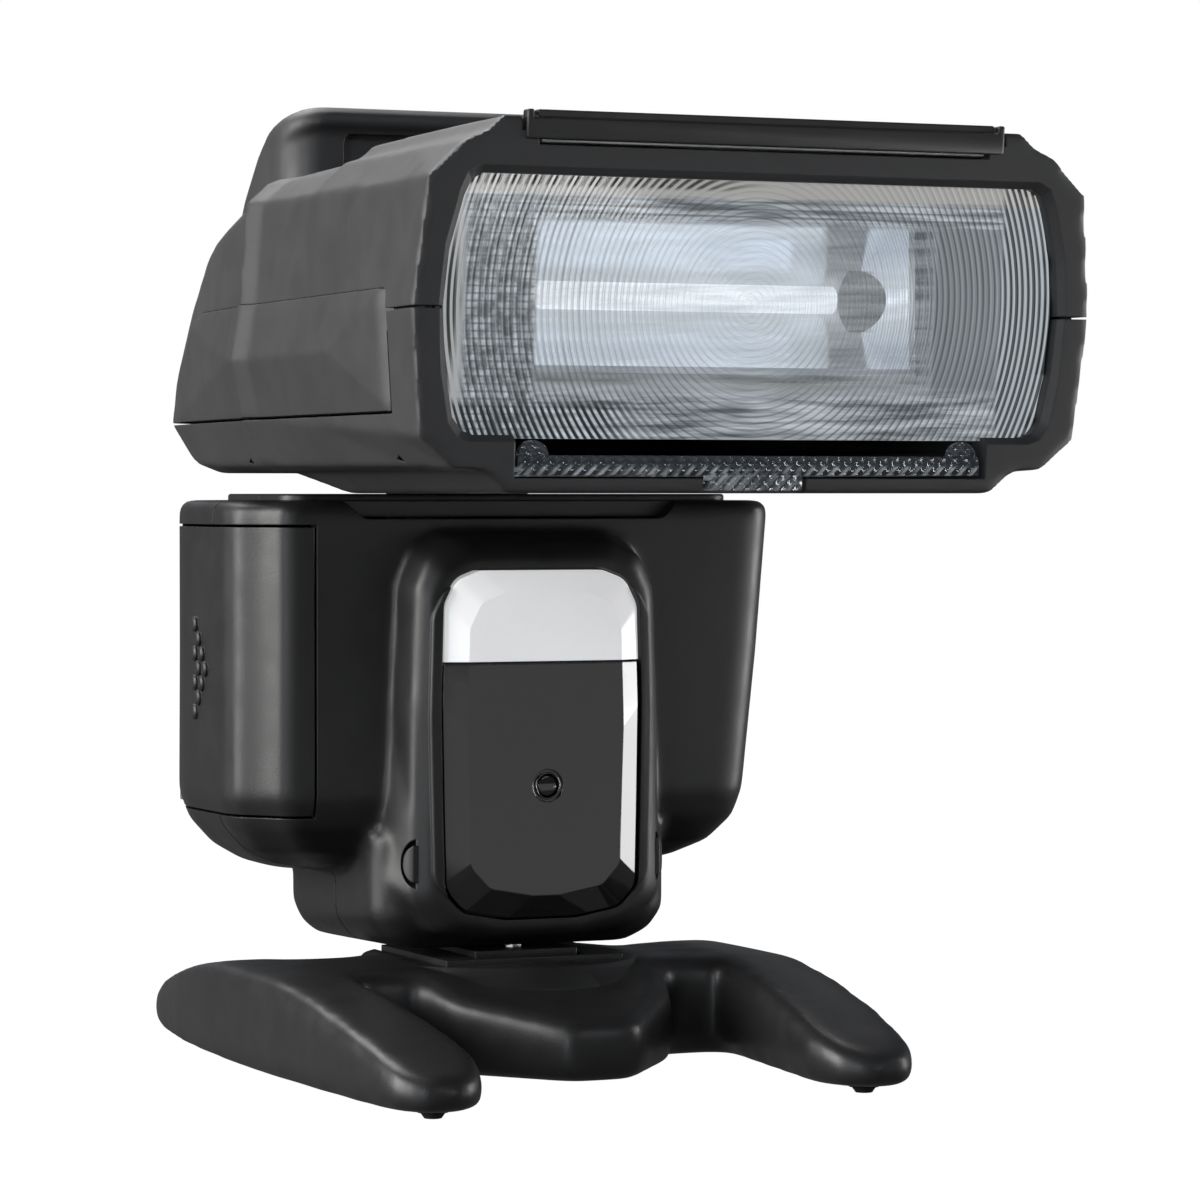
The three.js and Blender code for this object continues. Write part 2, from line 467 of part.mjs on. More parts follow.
// ---------- battery bay ----------
CELL.y.forEach((y, column) => CELL.z.forEach((z, row) => {
  const left = CELL.left[column];
  piece(`battery_cell_${column * 2 + row + 1}`, join(
    rod('x', left, left + CELL.length - 1, y, z, CELL.r, CELL.r, 24),
    rod('x', left + CELL.length - 1.2, left + CELL.length, y, z, 2.6, 2.6, 16),
  ), 'cell');
}));
piece('battery_contacts', join(
  box(25.6, 26.1, 63.5, 76.5, 30, 54),
  box(24.1, 26.1, 76.1, 76.5, 30, 54),
  box(24.1, 24.6, 76.1, 86.6, 30, 54),
), 'steel');
const CONTACT_X = -28.2;
piece('door_contact_plate', join(
  box(CONTACT_X, CONTACT_X + 0.6, 66.6, 84, 31, 53),
  ...CELL.y.flatMap((y) => CELL.z.map((z) => rod('x', CONTACT_X + 0.3, CONTACT_X + 2, y + 0.6, z, 2.6, 2, 16))),
), 'steel');
piece('battery_door', cut(
  common(doorSkin, doorRegion(0)),
  rod('z', 20, 70, HINGE.x, HINGE.y, HINGE.r + GAP, HINGE.r + GAP, 20),
), 'shellBlack');
piece('door_hinge_pin', join(
  rod('z', 29, 58, HINGE.x, HINGE.y, HINGE.r, HINGE.r, 16),
  box(HINGE.x, -26.6, HINGE.y - 0.3, HINGE.y + 0.3, 30, 57),
), 'steel');

// ---------- rear control panel ----------
piece('main_board', box(-21, 19, 91.4, 92.6, 29, 56), 'board');
const SCREEN = { x: 15.5, low: 42.2, high: 56.8 };
const DIAL = { x: 0, z: 34.2, r: 6.4 };
const POWER = { x: -13.6, z: 34.2, r: 4.4 };
const TEST = { x: 13.6, z: 37.4, r: 2.3 };
const MODE = { x: 13.6, z: 31.0, r: 2.3 };
const socket = ({ x, z, r }, y = 96.9) => rod('y', y, 110, x, z, r + 0.35, r + 0.35, 28);
piece('rear_panel', cut(
  box(-PANEL.half, PANEL.half, 95.7, PANEL.y, PANEL.low, PANEL.high),
  box(-SCREEN.x - GAP, SCREEN.x + GAP, 96.4, 110, SCREEN.low - GAP, SCREEN.high + GAP),
  socket(DIAL), socket(POWER), socket(TEST), socket(MODE),
), 'shellBlack');
piece('display_module', box(-SCREEN.x, SCREEN.x, 96.7, 98.0, SCREEN.low, SCREEN.high), 'screen');
piece('display_window', box(-SCREEN.x, SCREEN.x, 98.4, PANEL.y - 0.1, SCREEN.low, SCREEN.high), 'clear');
piece('select_dial', cut(
  rod('y', 97.3, PANEL.y + 1.6, DIAL.x, DIAL.z, DIAL.r, DIAL.r, 32),
  rod('y', 90, 110, DIAL.x, DIAL.z, 3.0, 3.0, 24),
), 'shellBlack');
piece('set_button', rod('y', 98.4, PANEL.y + 1.2, DIAL.x, DIAL.z, 2.6, 2.6, 24), 'shellBlack');
piece('power_dial', join(
  rod('y', 97.3, PANEL.y + 1.2, POWER.x, POWER.z, POWER.r, POWER.r, 28),
  box(POWER.x - 0.9, POWER.x + 0.9, PANEL.y + 0.8, PANEL.y + 2.4, POWER.z - 3.8, POWER.z + 3.8),
), 'shellBlack');
piece('test_button', rod('y', 98.2, PANEL.y + 0.8, TEST.x, TEST.z, TEST.r, TEST.r, 20), 'diffuser');
piece('mode_button', rod('y', 98.2, PANEL.y + 0.8, MODE.x, MODE.z, MODE.r, MODE.r, 20), 'shellBlack');

// ---------- shoe foot and lock ----------
const FOOT = { half: SHOE.foot, front: SHOE.y - SHOE.length / 2, rear: SHOE.y + SHOE.length / 2 };
piece('shoe_foot', cut(
  join(
    box(-FOOT.half, FOOT.half, FOOT.front, FOOT.rear, 9.6, SHOE.top),
    box(-6, 6, FOOT.front + 1.5, FOOT.rear - 1.5, SHOE.top - 0.5, 12.9),
  ),
  rod('z', 5, 14, 0, 62.3, 1.35, 1.35, 16),
), 'shellBlack');
piece('lock_pin', join(rod('z', 8.8, 20.6, 0, 62.3, 1.0, 1.0, 16), rod('z', 17.2, 18.2, 0, 62.3, 1.2, 1.2, 16)), 'steel');
for (const [name, side] of [['lock_button_left', -1], ['lock_button_right', 1]]) {
  piece(name, lockRod(side, LOCK.inner, LOCK.outer, 0), 'shellBlack');
}

// ---------- table stand ----------
const LEG_EDGE = [
  [18.9, 27.5], [20.0, 22.8], [22.6, 20.4], [26.8, 20.6], [29.2, 23.8], [30.2, 34], [31.0, 49], [31.3, 62], [31.0, 76],
  [30.2, 87], [28.5, 98.5], [26.8, 105.2], [24.2, 108.3], [21.2, 107.8], [19.2, 104], [21.6, 76], [21.6, 54],
];
const legTop = [
  [18, 0.9], [18, 2.9], [20.4, 4.0], [25, 5.6], [33, 7.7], [44, 9.9], [54, 11.2],
  [74, 11.2], [84, 9.9], [95, 7.8], [104, 5.6], [108.6, 4.0], [111, 2.9], [111, 0.9],
];
const lugHalf = [[3.8, 37.4], [12.7, 48.6], [14.6, 54.6], [24, 54.6], [24, 73.4], [14.6, 73.4], [12.7, 79.4], [3.8, 90.6]];
const lugTop = [[36, 0.9], [36, 6.8], [50, 9.4], [56, 11.3], [72, 11.3], [78, 9.4], [92, 6.8], [92, 0.9]];
const bothSides = (half) => [...half, ...half.slice().reverse().map(([x, y]) => [-x, y])];
const legs = [1, -1].map((side) => common(
  prismZ(LEG_EDGE.map(([x, y]) => [side * x, y]), STAND.base, 14),
  prismX(legTop, -40, 40),
));
const hub = common(prismZ(bothSides(lugHalf), STAND.base, 14), prismX(lugTop, -40, 40));
const RAIL = { half: 10.4, low: 8.4, high: 12.3, front: 56, rear: 75.4 };
const FEET = { x: 24.3, front: 25.4, rear: 103, r: 1.6 };
const footSpots = [
  ['rubber_foot_front_left', -FEET.x, FEET.front], ['rubber_foot_front_right', FEET.x, FEET.front],
  ['rubber_foot_rear_left', -FEET.x + 0.8, FEET.rear], ['rubber_foot_rear_right', FEET.x - 0.8, FEET.rear],
];
piece('stand_shell', cut(
  join(hub, ...legs, rod('z', 5, STAND.hub, 0, SHOE.y, 14.3, 14.3, 40)),
  box(-RAIL.half - GAP, RAIL.half + GAP, RAIL.front - GAP, 96, RAIL.low - GAP, 20),
  rod('z', 0, 6.6, 0, TRIPOD_Y, 5.8, 5.8, 24),
  ...footSpots.map(([, x, y]) => rod('z', 0, 2.9, x, y, FEET.r + GAP, FEET.r + GAP, 16)),
), 'shellBlack');
piece('shoe_rails', cut(
  box(-RAIL.half, RAIL.half, RAIL.front, RAIL.rear, RAIL.low, RAIL.high),
  box(-RAIL.half + 0.8, RAIL.half - 0.8, RAIL.front + 0.7, 90, RAIL.low + 0.8, 11.65),
  box(-6.5, 6.5, RAIL.front + 0.7, 90, 10, 20),
  box(-1.7, 1.7, 58.5, 90, 0, 12),
), 'shellBlack');
piece('tripod_bush', cut(rod('z', STAND.base, 6.3, 0, TRIPOD_Y, 5.5, 5.5, 24), rod('z', 0, 5.4, 0, TRIPOD_Y, 3.15, 3.15, 20)), 'brass');
for (const [name, x, y] of footSpots) {
  piece(name, join(rod('z', 0.6, 2.6, x, y, FEET.r, FEET.r, 16), rod('z', 0, 0.7, x, y, 0.9, 1.4, 16)), 'rubber');
}

export default flash;
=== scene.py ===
"""Speedlight flash on its table stand: the visible model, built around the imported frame.

Lengths are written in millimetres in design coordinates (z = 0 on the table, y = 0 at the front of
the lamp head), and mm() turns them into the frame's metres.
"""
import json
import math

import bmesh
import bpy
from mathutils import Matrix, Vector


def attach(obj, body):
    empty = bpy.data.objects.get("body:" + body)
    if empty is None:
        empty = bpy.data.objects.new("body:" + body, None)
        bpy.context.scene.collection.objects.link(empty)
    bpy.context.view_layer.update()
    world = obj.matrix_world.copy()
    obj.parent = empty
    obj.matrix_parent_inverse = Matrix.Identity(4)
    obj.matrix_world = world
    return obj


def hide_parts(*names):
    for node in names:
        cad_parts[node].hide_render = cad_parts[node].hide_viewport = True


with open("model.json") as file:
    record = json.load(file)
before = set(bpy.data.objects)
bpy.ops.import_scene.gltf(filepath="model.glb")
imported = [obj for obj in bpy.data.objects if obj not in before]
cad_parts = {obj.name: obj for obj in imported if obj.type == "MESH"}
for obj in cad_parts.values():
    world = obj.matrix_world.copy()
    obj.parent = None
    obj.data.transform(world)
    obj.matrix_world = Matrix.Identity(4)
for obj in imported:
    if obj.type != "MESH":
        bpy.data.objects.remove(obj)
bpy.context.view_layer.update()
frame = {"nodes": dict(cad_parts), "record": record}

MM = 0.001
CENTRE_Y = 53.184          # design y of the frame's origin
RAKE = -0.098              # forward lean of the head's front
SEAM_Z = 80.2
PART_Z = 70.4
PART_Y = 8.3
GAP = 0.26
SHOE_Y = 66                  # middle of the shoe and of the threaded bush


def mm(x, y, z):
    return Vector((x * MM, (y - CENTRE_Y) * MM, z * MM))


# ---------- mesh helpers ----------
def new_object(name, verts, faces):
    mesh = bpy.data.meshes.new(name)
    mesh.from_pydata([mm(*v) for v in verts], [], faces)
    obj = bpy.data.objects.new(name, mesh)
    bpy.context.scene.collection.objects.link(obj)
    tidy_mesh(obj)
    return obj


def tidy_mesh(obj, merge=1e-7):
    bm = bmesh.new()
    bm.from_mesh(obj.data)
    bmesh.ops.remove_doubles(bm, verts=bm.verts, dist=merge)
    bmesh.ops.recalc_face_normals(bm, faces=bm.faces)
    bm.to_mesh(obj.data)
    bm.free()


def loft(name, rings):
    """Closed body through rings of equal length, given as lists of (x, y, z)."""
    count = len(rings[0])
    verts = [p for ring in rings for p in ring]
    faces = []
    for r in range(len(rings) - 1):
        for i in range(count):
            a, b = r * count + i, r * count + (i + 1) % count
            faces.append((a, b, b + count, a + count))
    faces.append(tuple(range(count))[::-1])
    last = (len(rings) - 1) * count
    faces.append(tuple(range(last, last + count)))
    return new_object(name, verts, faces)


def prism(name, outline, axis, low, high):
    """Outline of two coordinates, extruded along the third from low to high."""
    def place(p, t):
        if axis == "x":
            return (t, p[0], p[1])
        if axis == "y":
            return (p[0], t, p[1])
        return (p[0], p[1], t)
    return loft(name, [[place(p, low) for p in outline], [place(p, high) for p in outline]])


def ordered(a, b):
    return (min(a, b), max(a, b))


def box(name, x, y, z):
    return prism(name, [(x[0], y[0]), (x[1], y[0]), (x[1], y[1]), (x[0], y[1])], "z", *z)


def disc(cx, cy, r, steps=48, start=0.0):
    return [(cx + r * math.cos(start + math.tau * i / steps), cy + r * math.sin(start + math.tau * i / steps))
            for i in range(steps)]


def rounded(points, radii, steps=6):
    """Closed outline with each corner turned into an arc of its own radius."""
    out = []
    n = len(points)
    for i, p in enumerate(points):
        r = radii[i] if isinstance(radii, (list, tuple)) else radii
        p = Vector(p)
        a = Vector(points[i - 1]) - p
        b = Vector(points[(i + 1) % n]) - p
        reach = min(a.length, b.length) * 0.49
        angle = a.angle(b)
        cut = min(r / max(math.tan(angle / 2), 1e-4), reach)
        start, end = p + a.normalized() * cut, p + b.normalized() * cut
        for k in range(steps + 1):
            t = k / steps
            q = start.lerp(p, t).lerp(p.lerp(end, t), t)
            out.append((q.x, q.y))
    return out


def apply_all(obj):
    depsgraph = bpy.context.evaluated_depsgraph_get()
    mesh = bpy.data.meshes.new_from_object(obj.evaluated_get(depsgraph))
    obj.modifiers.clear()
    old = obj.data
    obj.data = mesh
    bpy.data.meshes.remove(old)


def combine(obj, operation, *others, keep=False):
    for other in others:
        mod = obj.modifiers.new("cut", "BOOLEAN")
        mod.operation = operation
        mod.solver = "MANIFOLD"
        mod.object = other
        apply_all(obj)
        if not keep:
            bpy.data.objects.remove(other)
    return obj


def subtract(obj, *others, keep=False):
    return combine(obj, "DIFFERENCE", *others, keep=keep)


def unite(obj, *others, keep=False):
    return combine(obj, "UNION", *others, keep=keep)


def intersect(obj, *others, keep=False):
    return combine(obj, "INTERSECT", *others, keep=keep)


def copy(obj, name):
    twin = obj.copy()
    twin.data = obj.data.copy()
    twin.name = name
    bpy.context.scene.collection.objects.link(twin)
    return twin


def soften(obj, voxel, rounds, factor=0.5):
    """Melts the edges of a solid: voxel remesh, then smoothing."""
    mod = obj.modifiers.new("remesh", "REMESH")
    mod.mode = "VOXEL"
    mod.voxel_size = voxel * MM
    mod.use_smooth_shade = True
    smooth = obj.modifiers.new("smooth", "SMOOTH")
    smooth.factor = factor
    smooth.iterations = rounds
    apply_all(obj)
    return obj


def bevel(obj, width, segments=3, angle=30):
    mod = obj.modifiers.new("bevel", "BEVEL")
    mod.width = width * MM
    mod.segments = segments
    mod.limit_method = "ANGLE"
    mod.angle_limit = math.radians(angle)
    mod.harden_normals = False
    apply_all(obj)
    return obj


def smooth_shade(obj, angle=32):
    obj.data.shade_smooth()
    obj.data.set_sharp_from_angle(angle=math.radians(angle))
    return obj


def finish_piece(obj, name, body, slot, *nodes, look=None, angle=32):
    """Name the piece, give it its slot's material, and let it ride its body in place of the CAD nodes."""
    obj.name = name
    obj.data.name = name
    obj.data.materials.clear()
    obj.data.materials.append(MAT[look or slot])
    smooth_shade(obj, angle)
    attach(obj, body)
    if nodes:
        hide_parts(*nodes)
    return obj


# ---------- materials ----------
class Look:
    """A node-based material built round one Principled shader."""

    def __init__(self, name):
        self.material = bpy.data.materials.new(name)
        self.material.use_nodes = True
        self.tree = self.material.node_tree
        self.shader = self.tree.nodes["Principled BSDF"]

    def node(self, kind, inputs=None, **fields):
        node = self.tree.nodes.new("ShaderNode" + kind)
        for key, value in fields.items():
            setattr(node, key, value)
        for key, value in (inputs or {}).items():
            if isinstance(value, bpy.types.NodeSocket):
                self.tree.links.new(value, node.inputs[key])
            else:
                node.inputs[key].default_value = value
        return node

    def set(self, **values):
        for key, value in values.items():
            socket = self.shader.inputs[key.replace("_", " ")]
            if isinstance(value, bpy.types.NodeSocket):
                self.tree.links.new(value, socket)
            else:
                socket.default_value = value
        return self

    def place(self):
        return self.node("TexCoord").outputs["Object"]

    def math(self, operation, *values):
        node = self.node("Math", operation=operation)
        for socket, value in zip(node.inputs, values):
            if isinstance(value, bpy.types.NodeSocket):
                self.tree.links.new(value, socket)
            else:
                socket.default_value = value
        return node.outputs[0]

    def times(self, *values):
        return self.math("MULTIPLY", *values)

    def plus(self, *values):
        return self.math("ADD", *values)

    def rest(self, value):
        return self.math("SUBTRACT", 1.0, value)

    def noise(self, scale, detail=3.0, rough=0.5, vector=None):
        return self.node("TexNoise", {
            "Vector": vector or self.place(), "Scale": scale, "Detail": detail, "Roughness": rough,
        }).outputs["Fac"]

    def ramp(self, factor, stops):
        node = self.node("ValToRGB", {"Fac": factor})
        elements = node.color_ramp.elements
        for index, (position, value) in enumerate(stops):
            element = elements[index] if index < 2 else elements.new(position)
            element.position = position
            color = value if isinstance(value, tuple) else (value, value, value)
            element.color = (*color, 1)
        return node.outputs["Color"]

    def spread(self, factor, low, high, start=0.3, end=0.7):
        return self.node("MapRange", {
            "Value": factor, "From Min": start, "From Max": end, "To Min": low, "To Max": high,
        }).outputs["Result"]

    def bump(self, height, strength, distance, below=None, edge=0.0):
        inputs = {"Height": height, "Strength": strength, "Distance": distance * MM}
        if edge:
            below = self.node("Bevel", {"Radius": edge * MM}, samples=6).outputs["Normal"]
        if below is not None:
            inputs["Normal"] = below
        return self.node("Bump", inputs).outputs["Normal"]


def moulded(name, color, rough, grain=0.35, grain_scale=3600, edge=0.22, spec=0.5, vary=0.12, coat=0.0):
    """Spark-eroded moulded plastic: fine grain, faint cloudy gloss and rounded edges."""
    look = Look(name)
    cloud = look.noise(70, 4.0)
    dark = tuple(c * (1 - vary) for c in color)
    light = tuple(min(1.0, c * (1 + vary)) for c in color)
    look.set(
        Base_Color=look.ramp(cloud, [(0.3, dark), (0.7, light)]),
        Roughness=look.spread(look.noise(260, 5.0), rough - 0.05, rough + 0.06),
        Normal=look.bump(look.noise(grain_scale, 2.0), grain, 0.03, edge=edge),
    )
    look.set(Specular_IOR_Level=spec, Coat_Weight=coat)
    return look.material


def metal(name, color, rough, brush=(1, 1, 1), grain=0.2, edge=0.1, painted_tube_glow=False):
    """Bright or brushed metal: the noise is stretched along the brushing direction."""
    look = Look(name)
    stretched = look.node("Mapping", {"Vector": look.place(), "Scale": brush}).outputs["Vector"]
    streaks = look.noise(1400, 4.0, vector=stretched)
    tone = tuple(c * 0.82 for c in color)
    look.set(
        Base_Color=look.ramp(streaks, [(0.25, tone), (0.75, color)]),
        Roughness=look.spread(streaks, rough * 0.7, rough * 1.3),
        Normal=look.bump(streaks, grain, 0.01, edge=edge),
        Metallic=1.0,
    )
    if painted_tube_glow:        # painted glow: emission standing in for the tube's light on the reflector; the band beside the flash tube is the brightest
        split = look.node("SeparateXYZ", {"Vector": look.place()})
        off = look.math("ABSOLUTE", look.math("SUBTRACT", look.math("DIVIDE", split.outputs["Z"], MM), 82.0))
        look.set(Emission_Color=(0.9, 0.95, 1, 1), Emission_Strength=look.spread(off, 0.45, 0.05, 1.0, 5.0))
    return look.material


def glossy_black():
    look = Look("gloss_black")
    look.set(
        Base_Color=look.ramp(look.noise(40, 2.0), [(0.3, (0.008, 0.008, 0.009)),
                                                   (0.7, (0.011, 0.011, 0.012))]),
        Roughness=look.spread(look.noise(700, 5.0), 0.035, 0.075),
        Normal=look.bump(look.noise(120, 2.0), 0.03, 0.02, edge=0.18),
    )
    look.set(Specular_IOR_Level=0.6, Coat_Weight=0.25, Coat_Roughness=0.03)
    return look.material


def lens_prisms():
    """Clear prismatic lens: circular prisms in front, straight ones behind. The light and dark lines they
    show, the glow and the glints are painted light, given as emission.
    """
    look = Look("prismatic_lens_painted_light")
    split = look.node("SeparateXYZ", {"Vector": look.place()})
    x = look.math("DIVIDE", split.outputs["X"], MM)
    z = look.math("SUBTRACT", look.math("DIVIDE", split.outputs["Z"], MM), LENS_CENTRE_Z)

    def above(value, at, soft=0.4):
        return look.spread(value, 0.0, 1.0, at - soft, at + soft)

    def below(value, at, soft=0.4):
        return look.spread(value, 1.0, 0.0, at - soft, at + soft)

    def both_of(*factors):
        out = factors[0]
        for factor in factors[1:]:
            out = look.times(out, factor)
        return out

    def blend(value, other, factor):
        keep = look.rest(factor)
        return look.plus(look.times(value, keep), look.times(other, factor))

    radius = look.math("SQRT", look.plus(look.times(x, x), look.times(z, z)))
    ring = look.math("FRACT", look.math("DIVIDE", radius, LINE_PITCH))
    rows = look.math("FRACT", look.math("DIVIDE", z, ROW_PITCH))
    ribs = look.math("FRACT", look.math("DIVIDE", x, 0.85))
    patchy = look.noise(150, 3.0)
    flat = look.node("CombineXYZ", {"X": look.times(x, 0.09), "Y": 0.0, "Z": look.times(z, 1.3)})
    streaks = look.noise(1.0, 4.0, 0.6, flat.outputs["Vector"])
    flecks = look.noise(900, 2.0)

    left_band = below(x, -30.6)
    left_ribs = below(x, -23.2, 0.3)
    right_dim = above(x, 19.6, 0.3)
    right_rings = above(x, 27.0, 0.3)
    top, upper, low = above(z, 10.1, 0.3), above(z, 7.8, 0.3), below(z, -8.6, 0.8)
    streaky = look.spread(streaks, 0.10, 0.52, 0.38, 0.62)
    # painted light: the emitted brightness over the lens, set zone by zone (dim right, streaky bands,
    # brighter top, left and right bands)
    painted_light_level = blend(0.5, 0.2, look.math("MAXIMUM", left_ribs, right_dim))
    painted_light_level = blend(painted_light_level, streaky, look.math("MAXIMUM", upper, low))
    painted_light_level = blend(painted_light_level, 0.34, top)
    mesh_zone = both_of(left_ribs, look.rest(left_band), below(z, 9.6))
    painted_light_level = blend(painted_light_level, look.spread(flecks, 0.05, 0.55, 0.36, 0.66), both_of(mesh_zone, 0.75))
    across = look.spread(rows, 0.0, 0.75, 0.62, 0.8)
    painted_light_level = blend(painted_light_level, 0.09, both_of(across, look.math("MAXIMUM", mesh_zone,
                                                         both_of(upper, below(z, 10.0)))))
    painted_light_level = blend(painted_light_level, 0.1, both_of(look.spread(ribs, 0.0, 0.6, 0.6, 0.8), mesh_zone))
    painted_light_level = blend(painted_light_level, 0.38, left_band)
    painted_light_level = blend(painted_light_level, 0.42, right_rings)

    corner = both_of(below(z, -9.6, 0.5), below(x, -12.0, 4.0))
    dashes = both_of(above(z, 10.9, 0.2), below(x, -2.0, 4.0), below(look.math("ABSOLUTE", z), 11.9, 0.1))
    edge = below(look.plus(x, look.times(look.math("ABSOLUTE", z), 0.1)), -31.0, 0.4)
    bold = look.math("MAXIMUM", look.math("MAXIMUM", right_rings, corner), look.math("MAXIMUM", dashes, edge))
    thin = both_of(look.spread(ring, 0.0, 1.0, 0.62, 0.8), look.spread(radius, 0.4, 0.8, 4.0, 20.0),
                   look.spread(patchy, 0.6, 1.0))
    thin = both_of(thin, look.rest(both_of(top, 0.7)), look.rest(left_band))
    lines = look.math("MAXIMUM", thin, both_of(look.spread(ring, 0.0, 1.0, 0.42, 0.56), bold))
    # painted dark lines where the prisms show dark
    painted_light_level = blend(painted_light_level, 0.006, lines)
    # painted glints: bright rings beside the dark lines
    painted_ring_glints = both_of(look.spread(ring, 0.0, 1.0, 0.1, 0.2), look.spread(ring, 1.0, 0.0, 0.3, 0.42))
    painted_light_level = look.plus(painted_light_level, both_of(painted_ring_glints, look.spread(radius, 0.0, 0.14, 12.0, 26.0),
                                     look.rest(left_band)))

    middle = both_of(above(x, -23.2, 0.3), below(x, 19.6, 0.3), below(z, 7.8, 0.3), above(z, -8.6, 0.8))
    alpha = blend(0.88, look.spread(streaks, 0.1, 0.42, 0.4, 0.65), middle)
    alpha = look.math("MAXIMUM", alpha, both_of(lines, 0.8))
    # painted glow tint: bluish, warmer at the top and in the left band
    painted_glow_tint = look.ramp(look.plus(both_of(top, 0.5), both_of(left_band, 0.3)),
                     [(0.0, (0.84, 0.93, 1.0)), (0.5, (1.0, 0.99, 0.97))])
    look.set(
        Base_Color=look.node("Mix", {"Factor": 0.93, "A": painted_glow_tint, "B": (0.0, 0.0, 0.0, 1)},
                             data_type="RGBA").outputs["Result"],
        Emission_Color=painted_glow_tint,
        Emission_Strength=look.times(painted_light_level, 0.95),
        Alpha=alpha,
        Roughness=look.spread(patchy, 0.12, 0.25),
        Normal=look.bump(look.plus(ring, rows), 0.3, 0.03),
    )
    look.set(Specular_IOR_Level=0.4)
    return look.material


def clear_plastic(name, tint, alpha, rough=0.05, diamonds=False):
    look = Look(name)
    cloud = look.noise(300, 3.0)
    normal = look.bump(cloud, 0.1, 0.02)
    strength = look.spread(cloud, alpha * 0.8, alpha * 1.2)
    color = look.ramp(cloud, [(0.3, tuple(c * 0.85 for c in tint)), (0.7, tint)])
    if diamonds:
        split = look.node("SeparateXYZ", {"Vector": look.place()})
        across = look.math("DIVIDE", split.outputs["X"], DIAMOND * MM)
        along = look.math("DIVIDE", look.plus(split.outputs["Y"], split.outputs["Z"]), DIAMOND * MM)
        facets = [look.math("PINGPONG", look.math(kind, across, along), 0.5) for kind in ("ADD", "SUBTRACT")]
        height = look.times(*facets)
        normal = look.bump(height, 1.0, 0.8)
        z = look.math("DIVIDE", split.outputs["Z"], MM)
        # painted glint: bright slanted streaks on the facets up to z 65.4, given as emission
        slant = look.math("FRACT", look.math("DIVIDE", look.plus(split.outputs["X"], look.times(z, -MM)),
                                             DIAMOND * MM))
        painted_facet_glint = look.times(look.spread(slant, 0.0, 1.0, 0.55, 0.75), look.spread(z, 1.0, 0.0, 65.1, 65.4))
        painted_facet_glint = look.times(painted_facet_glint, look.spread(cloud, 0.1, 0.8, 0.4, 0.6))
        strength = look.plus(0.42, look.times(height, 0.4))
        color = look.ramp(cloud, [(0.3, (0.09, 0.11, 0.13)), (0.7, (0.13, 0.15, 0.17))])
        look.set(Emission_Color=(0.85, 0.93, 1, 1), Emission_Strength=look.times(painted_facet_glint, 0.55))
    look.set(Base_Color=color, Alpha=strength, Roughness=look.spread(cloud, rough, rough + 0.05),
             Normal=normal)
    look.set(Specular_IOR_Level=0.8)
    return look.material


def lamp_diffuser():
    """Milky lens of the front lamp with a faint vertical flute and a faint painted glow."""
    look = Look("milky_lens")
    split = look.node("SeparateXYZ", {"Vector": look.place()})
    flute = look.math("PINGPONG", look.math("DIVIDE", split.outputs["X"], 0.9 * MM), 0.5)
    cloud = look.noise(90, 2.0)
    look.set(
        Base_Color=look.ramp(cloud, [(0.3, (0.80, 0.80, 0.82)), (0.7, (0.86, 0.86, 0.88))]),
        Roughness=look.spread(look.noise(500, 3.0), 0.16, 0.26),
        Normal=look.bump(flute, 0.06, 0.05, edge=0.15),
    )
    look.set(Subsurface_Weight=0.2, Subsurface_Scale=0.002, Coat_Weight=0.4, Coat_Roughness=0.06)
    # painted glow: a faint emission lifts the milky lens to near white
    look.set(Emission_Color=(1, 1, 1, 1), Emission_Strength=0.42)
    return look.material


def card_white():
    look = Look("card_white")
    fibre = look.noise(1800, 4.0)
    look.set(
        Base_Color=look.ramp(fibre, [(0.3, (0.78, 0.78, 0.77)), (0.7, (0.86, 0.86, 0.85))]),
        Roughness=look.spread(fibre, 0.5, 0.7),
        Normal=look.bump(fibre, 0.2, 0.02, edge=0.1),
    )
    return look.material


def glowing_tube():
    """Xenon tube, a little lit, so that the reflector round it shines."""
    look = Look("tube_glass")
    band = look.noise(400, 2.0)
    look.set(
        Base_Color=look.ramp(band, [(0.3, (0.85, 0.88, 0.93)), (0.7, (0.95, 0.97, 1.0))]),
        Roughness=look.spread(band, 0.04, 0.12),
        Normal=look.bump(band, 0.05, 0.02),
    )
    look.set(Emission_Color=(0.9, 0.95, 1.0, 1), Emission_Strength=0.8)
    return look.material


def circuit_board():
    look = Look("circuit_board")
    place = look.place()
    tracks = look.node("TexBrick", {
        "Vector": look.node("Mapping", {"Vector": place, "Rotation": (math.pi / 2, 0, 0)}).outputs["Vector"],
        "Color1": (0.01, 0.09, 0.04, 1), "Color2": (0.015, 0.12, 0.05, 1), "Mortar": (0.32, 0.24, 0.07, 1),
        "Scale": 260, "Mortar Size": 0.02,
    })
    look.set(
        Base_Color=tracks.outputs["Color"],
        Roughness=look.spread(look.noise(900), 0.3, 0.5),
        Normal=look.bump(tracks.outputs["Fac"], 0.3, 0.03, edge=0.1),
    )
    return look.material


def screen_glass():
    look = Look("screen")
    cloud = look.noise(900, 3.0)
    look.set(
        Base_Color=look.ramp(cloud, [(0.3, (0.012, 0.014, 0.013)), (0.7, (0.016, 0.019, 0.017))]),
        Roughness=look.spread(cloud, 0.1, 0.18),
        Normal=look.bump(cloud, 0.04, 0.02),
    )
    return look.material


LENS_CENTRE_Z = 81.0
RING_PITCH = 0.48            # circular prisms cut in the lens
LINE_PITCH = 1.35 * RING_PITCH   # painted light and dark lines that stand for what the prisms show
ROW_PITCH = 0.713            # straight prisms on the lens's back
DIAMOND = 1.3                # facets of the wide panel

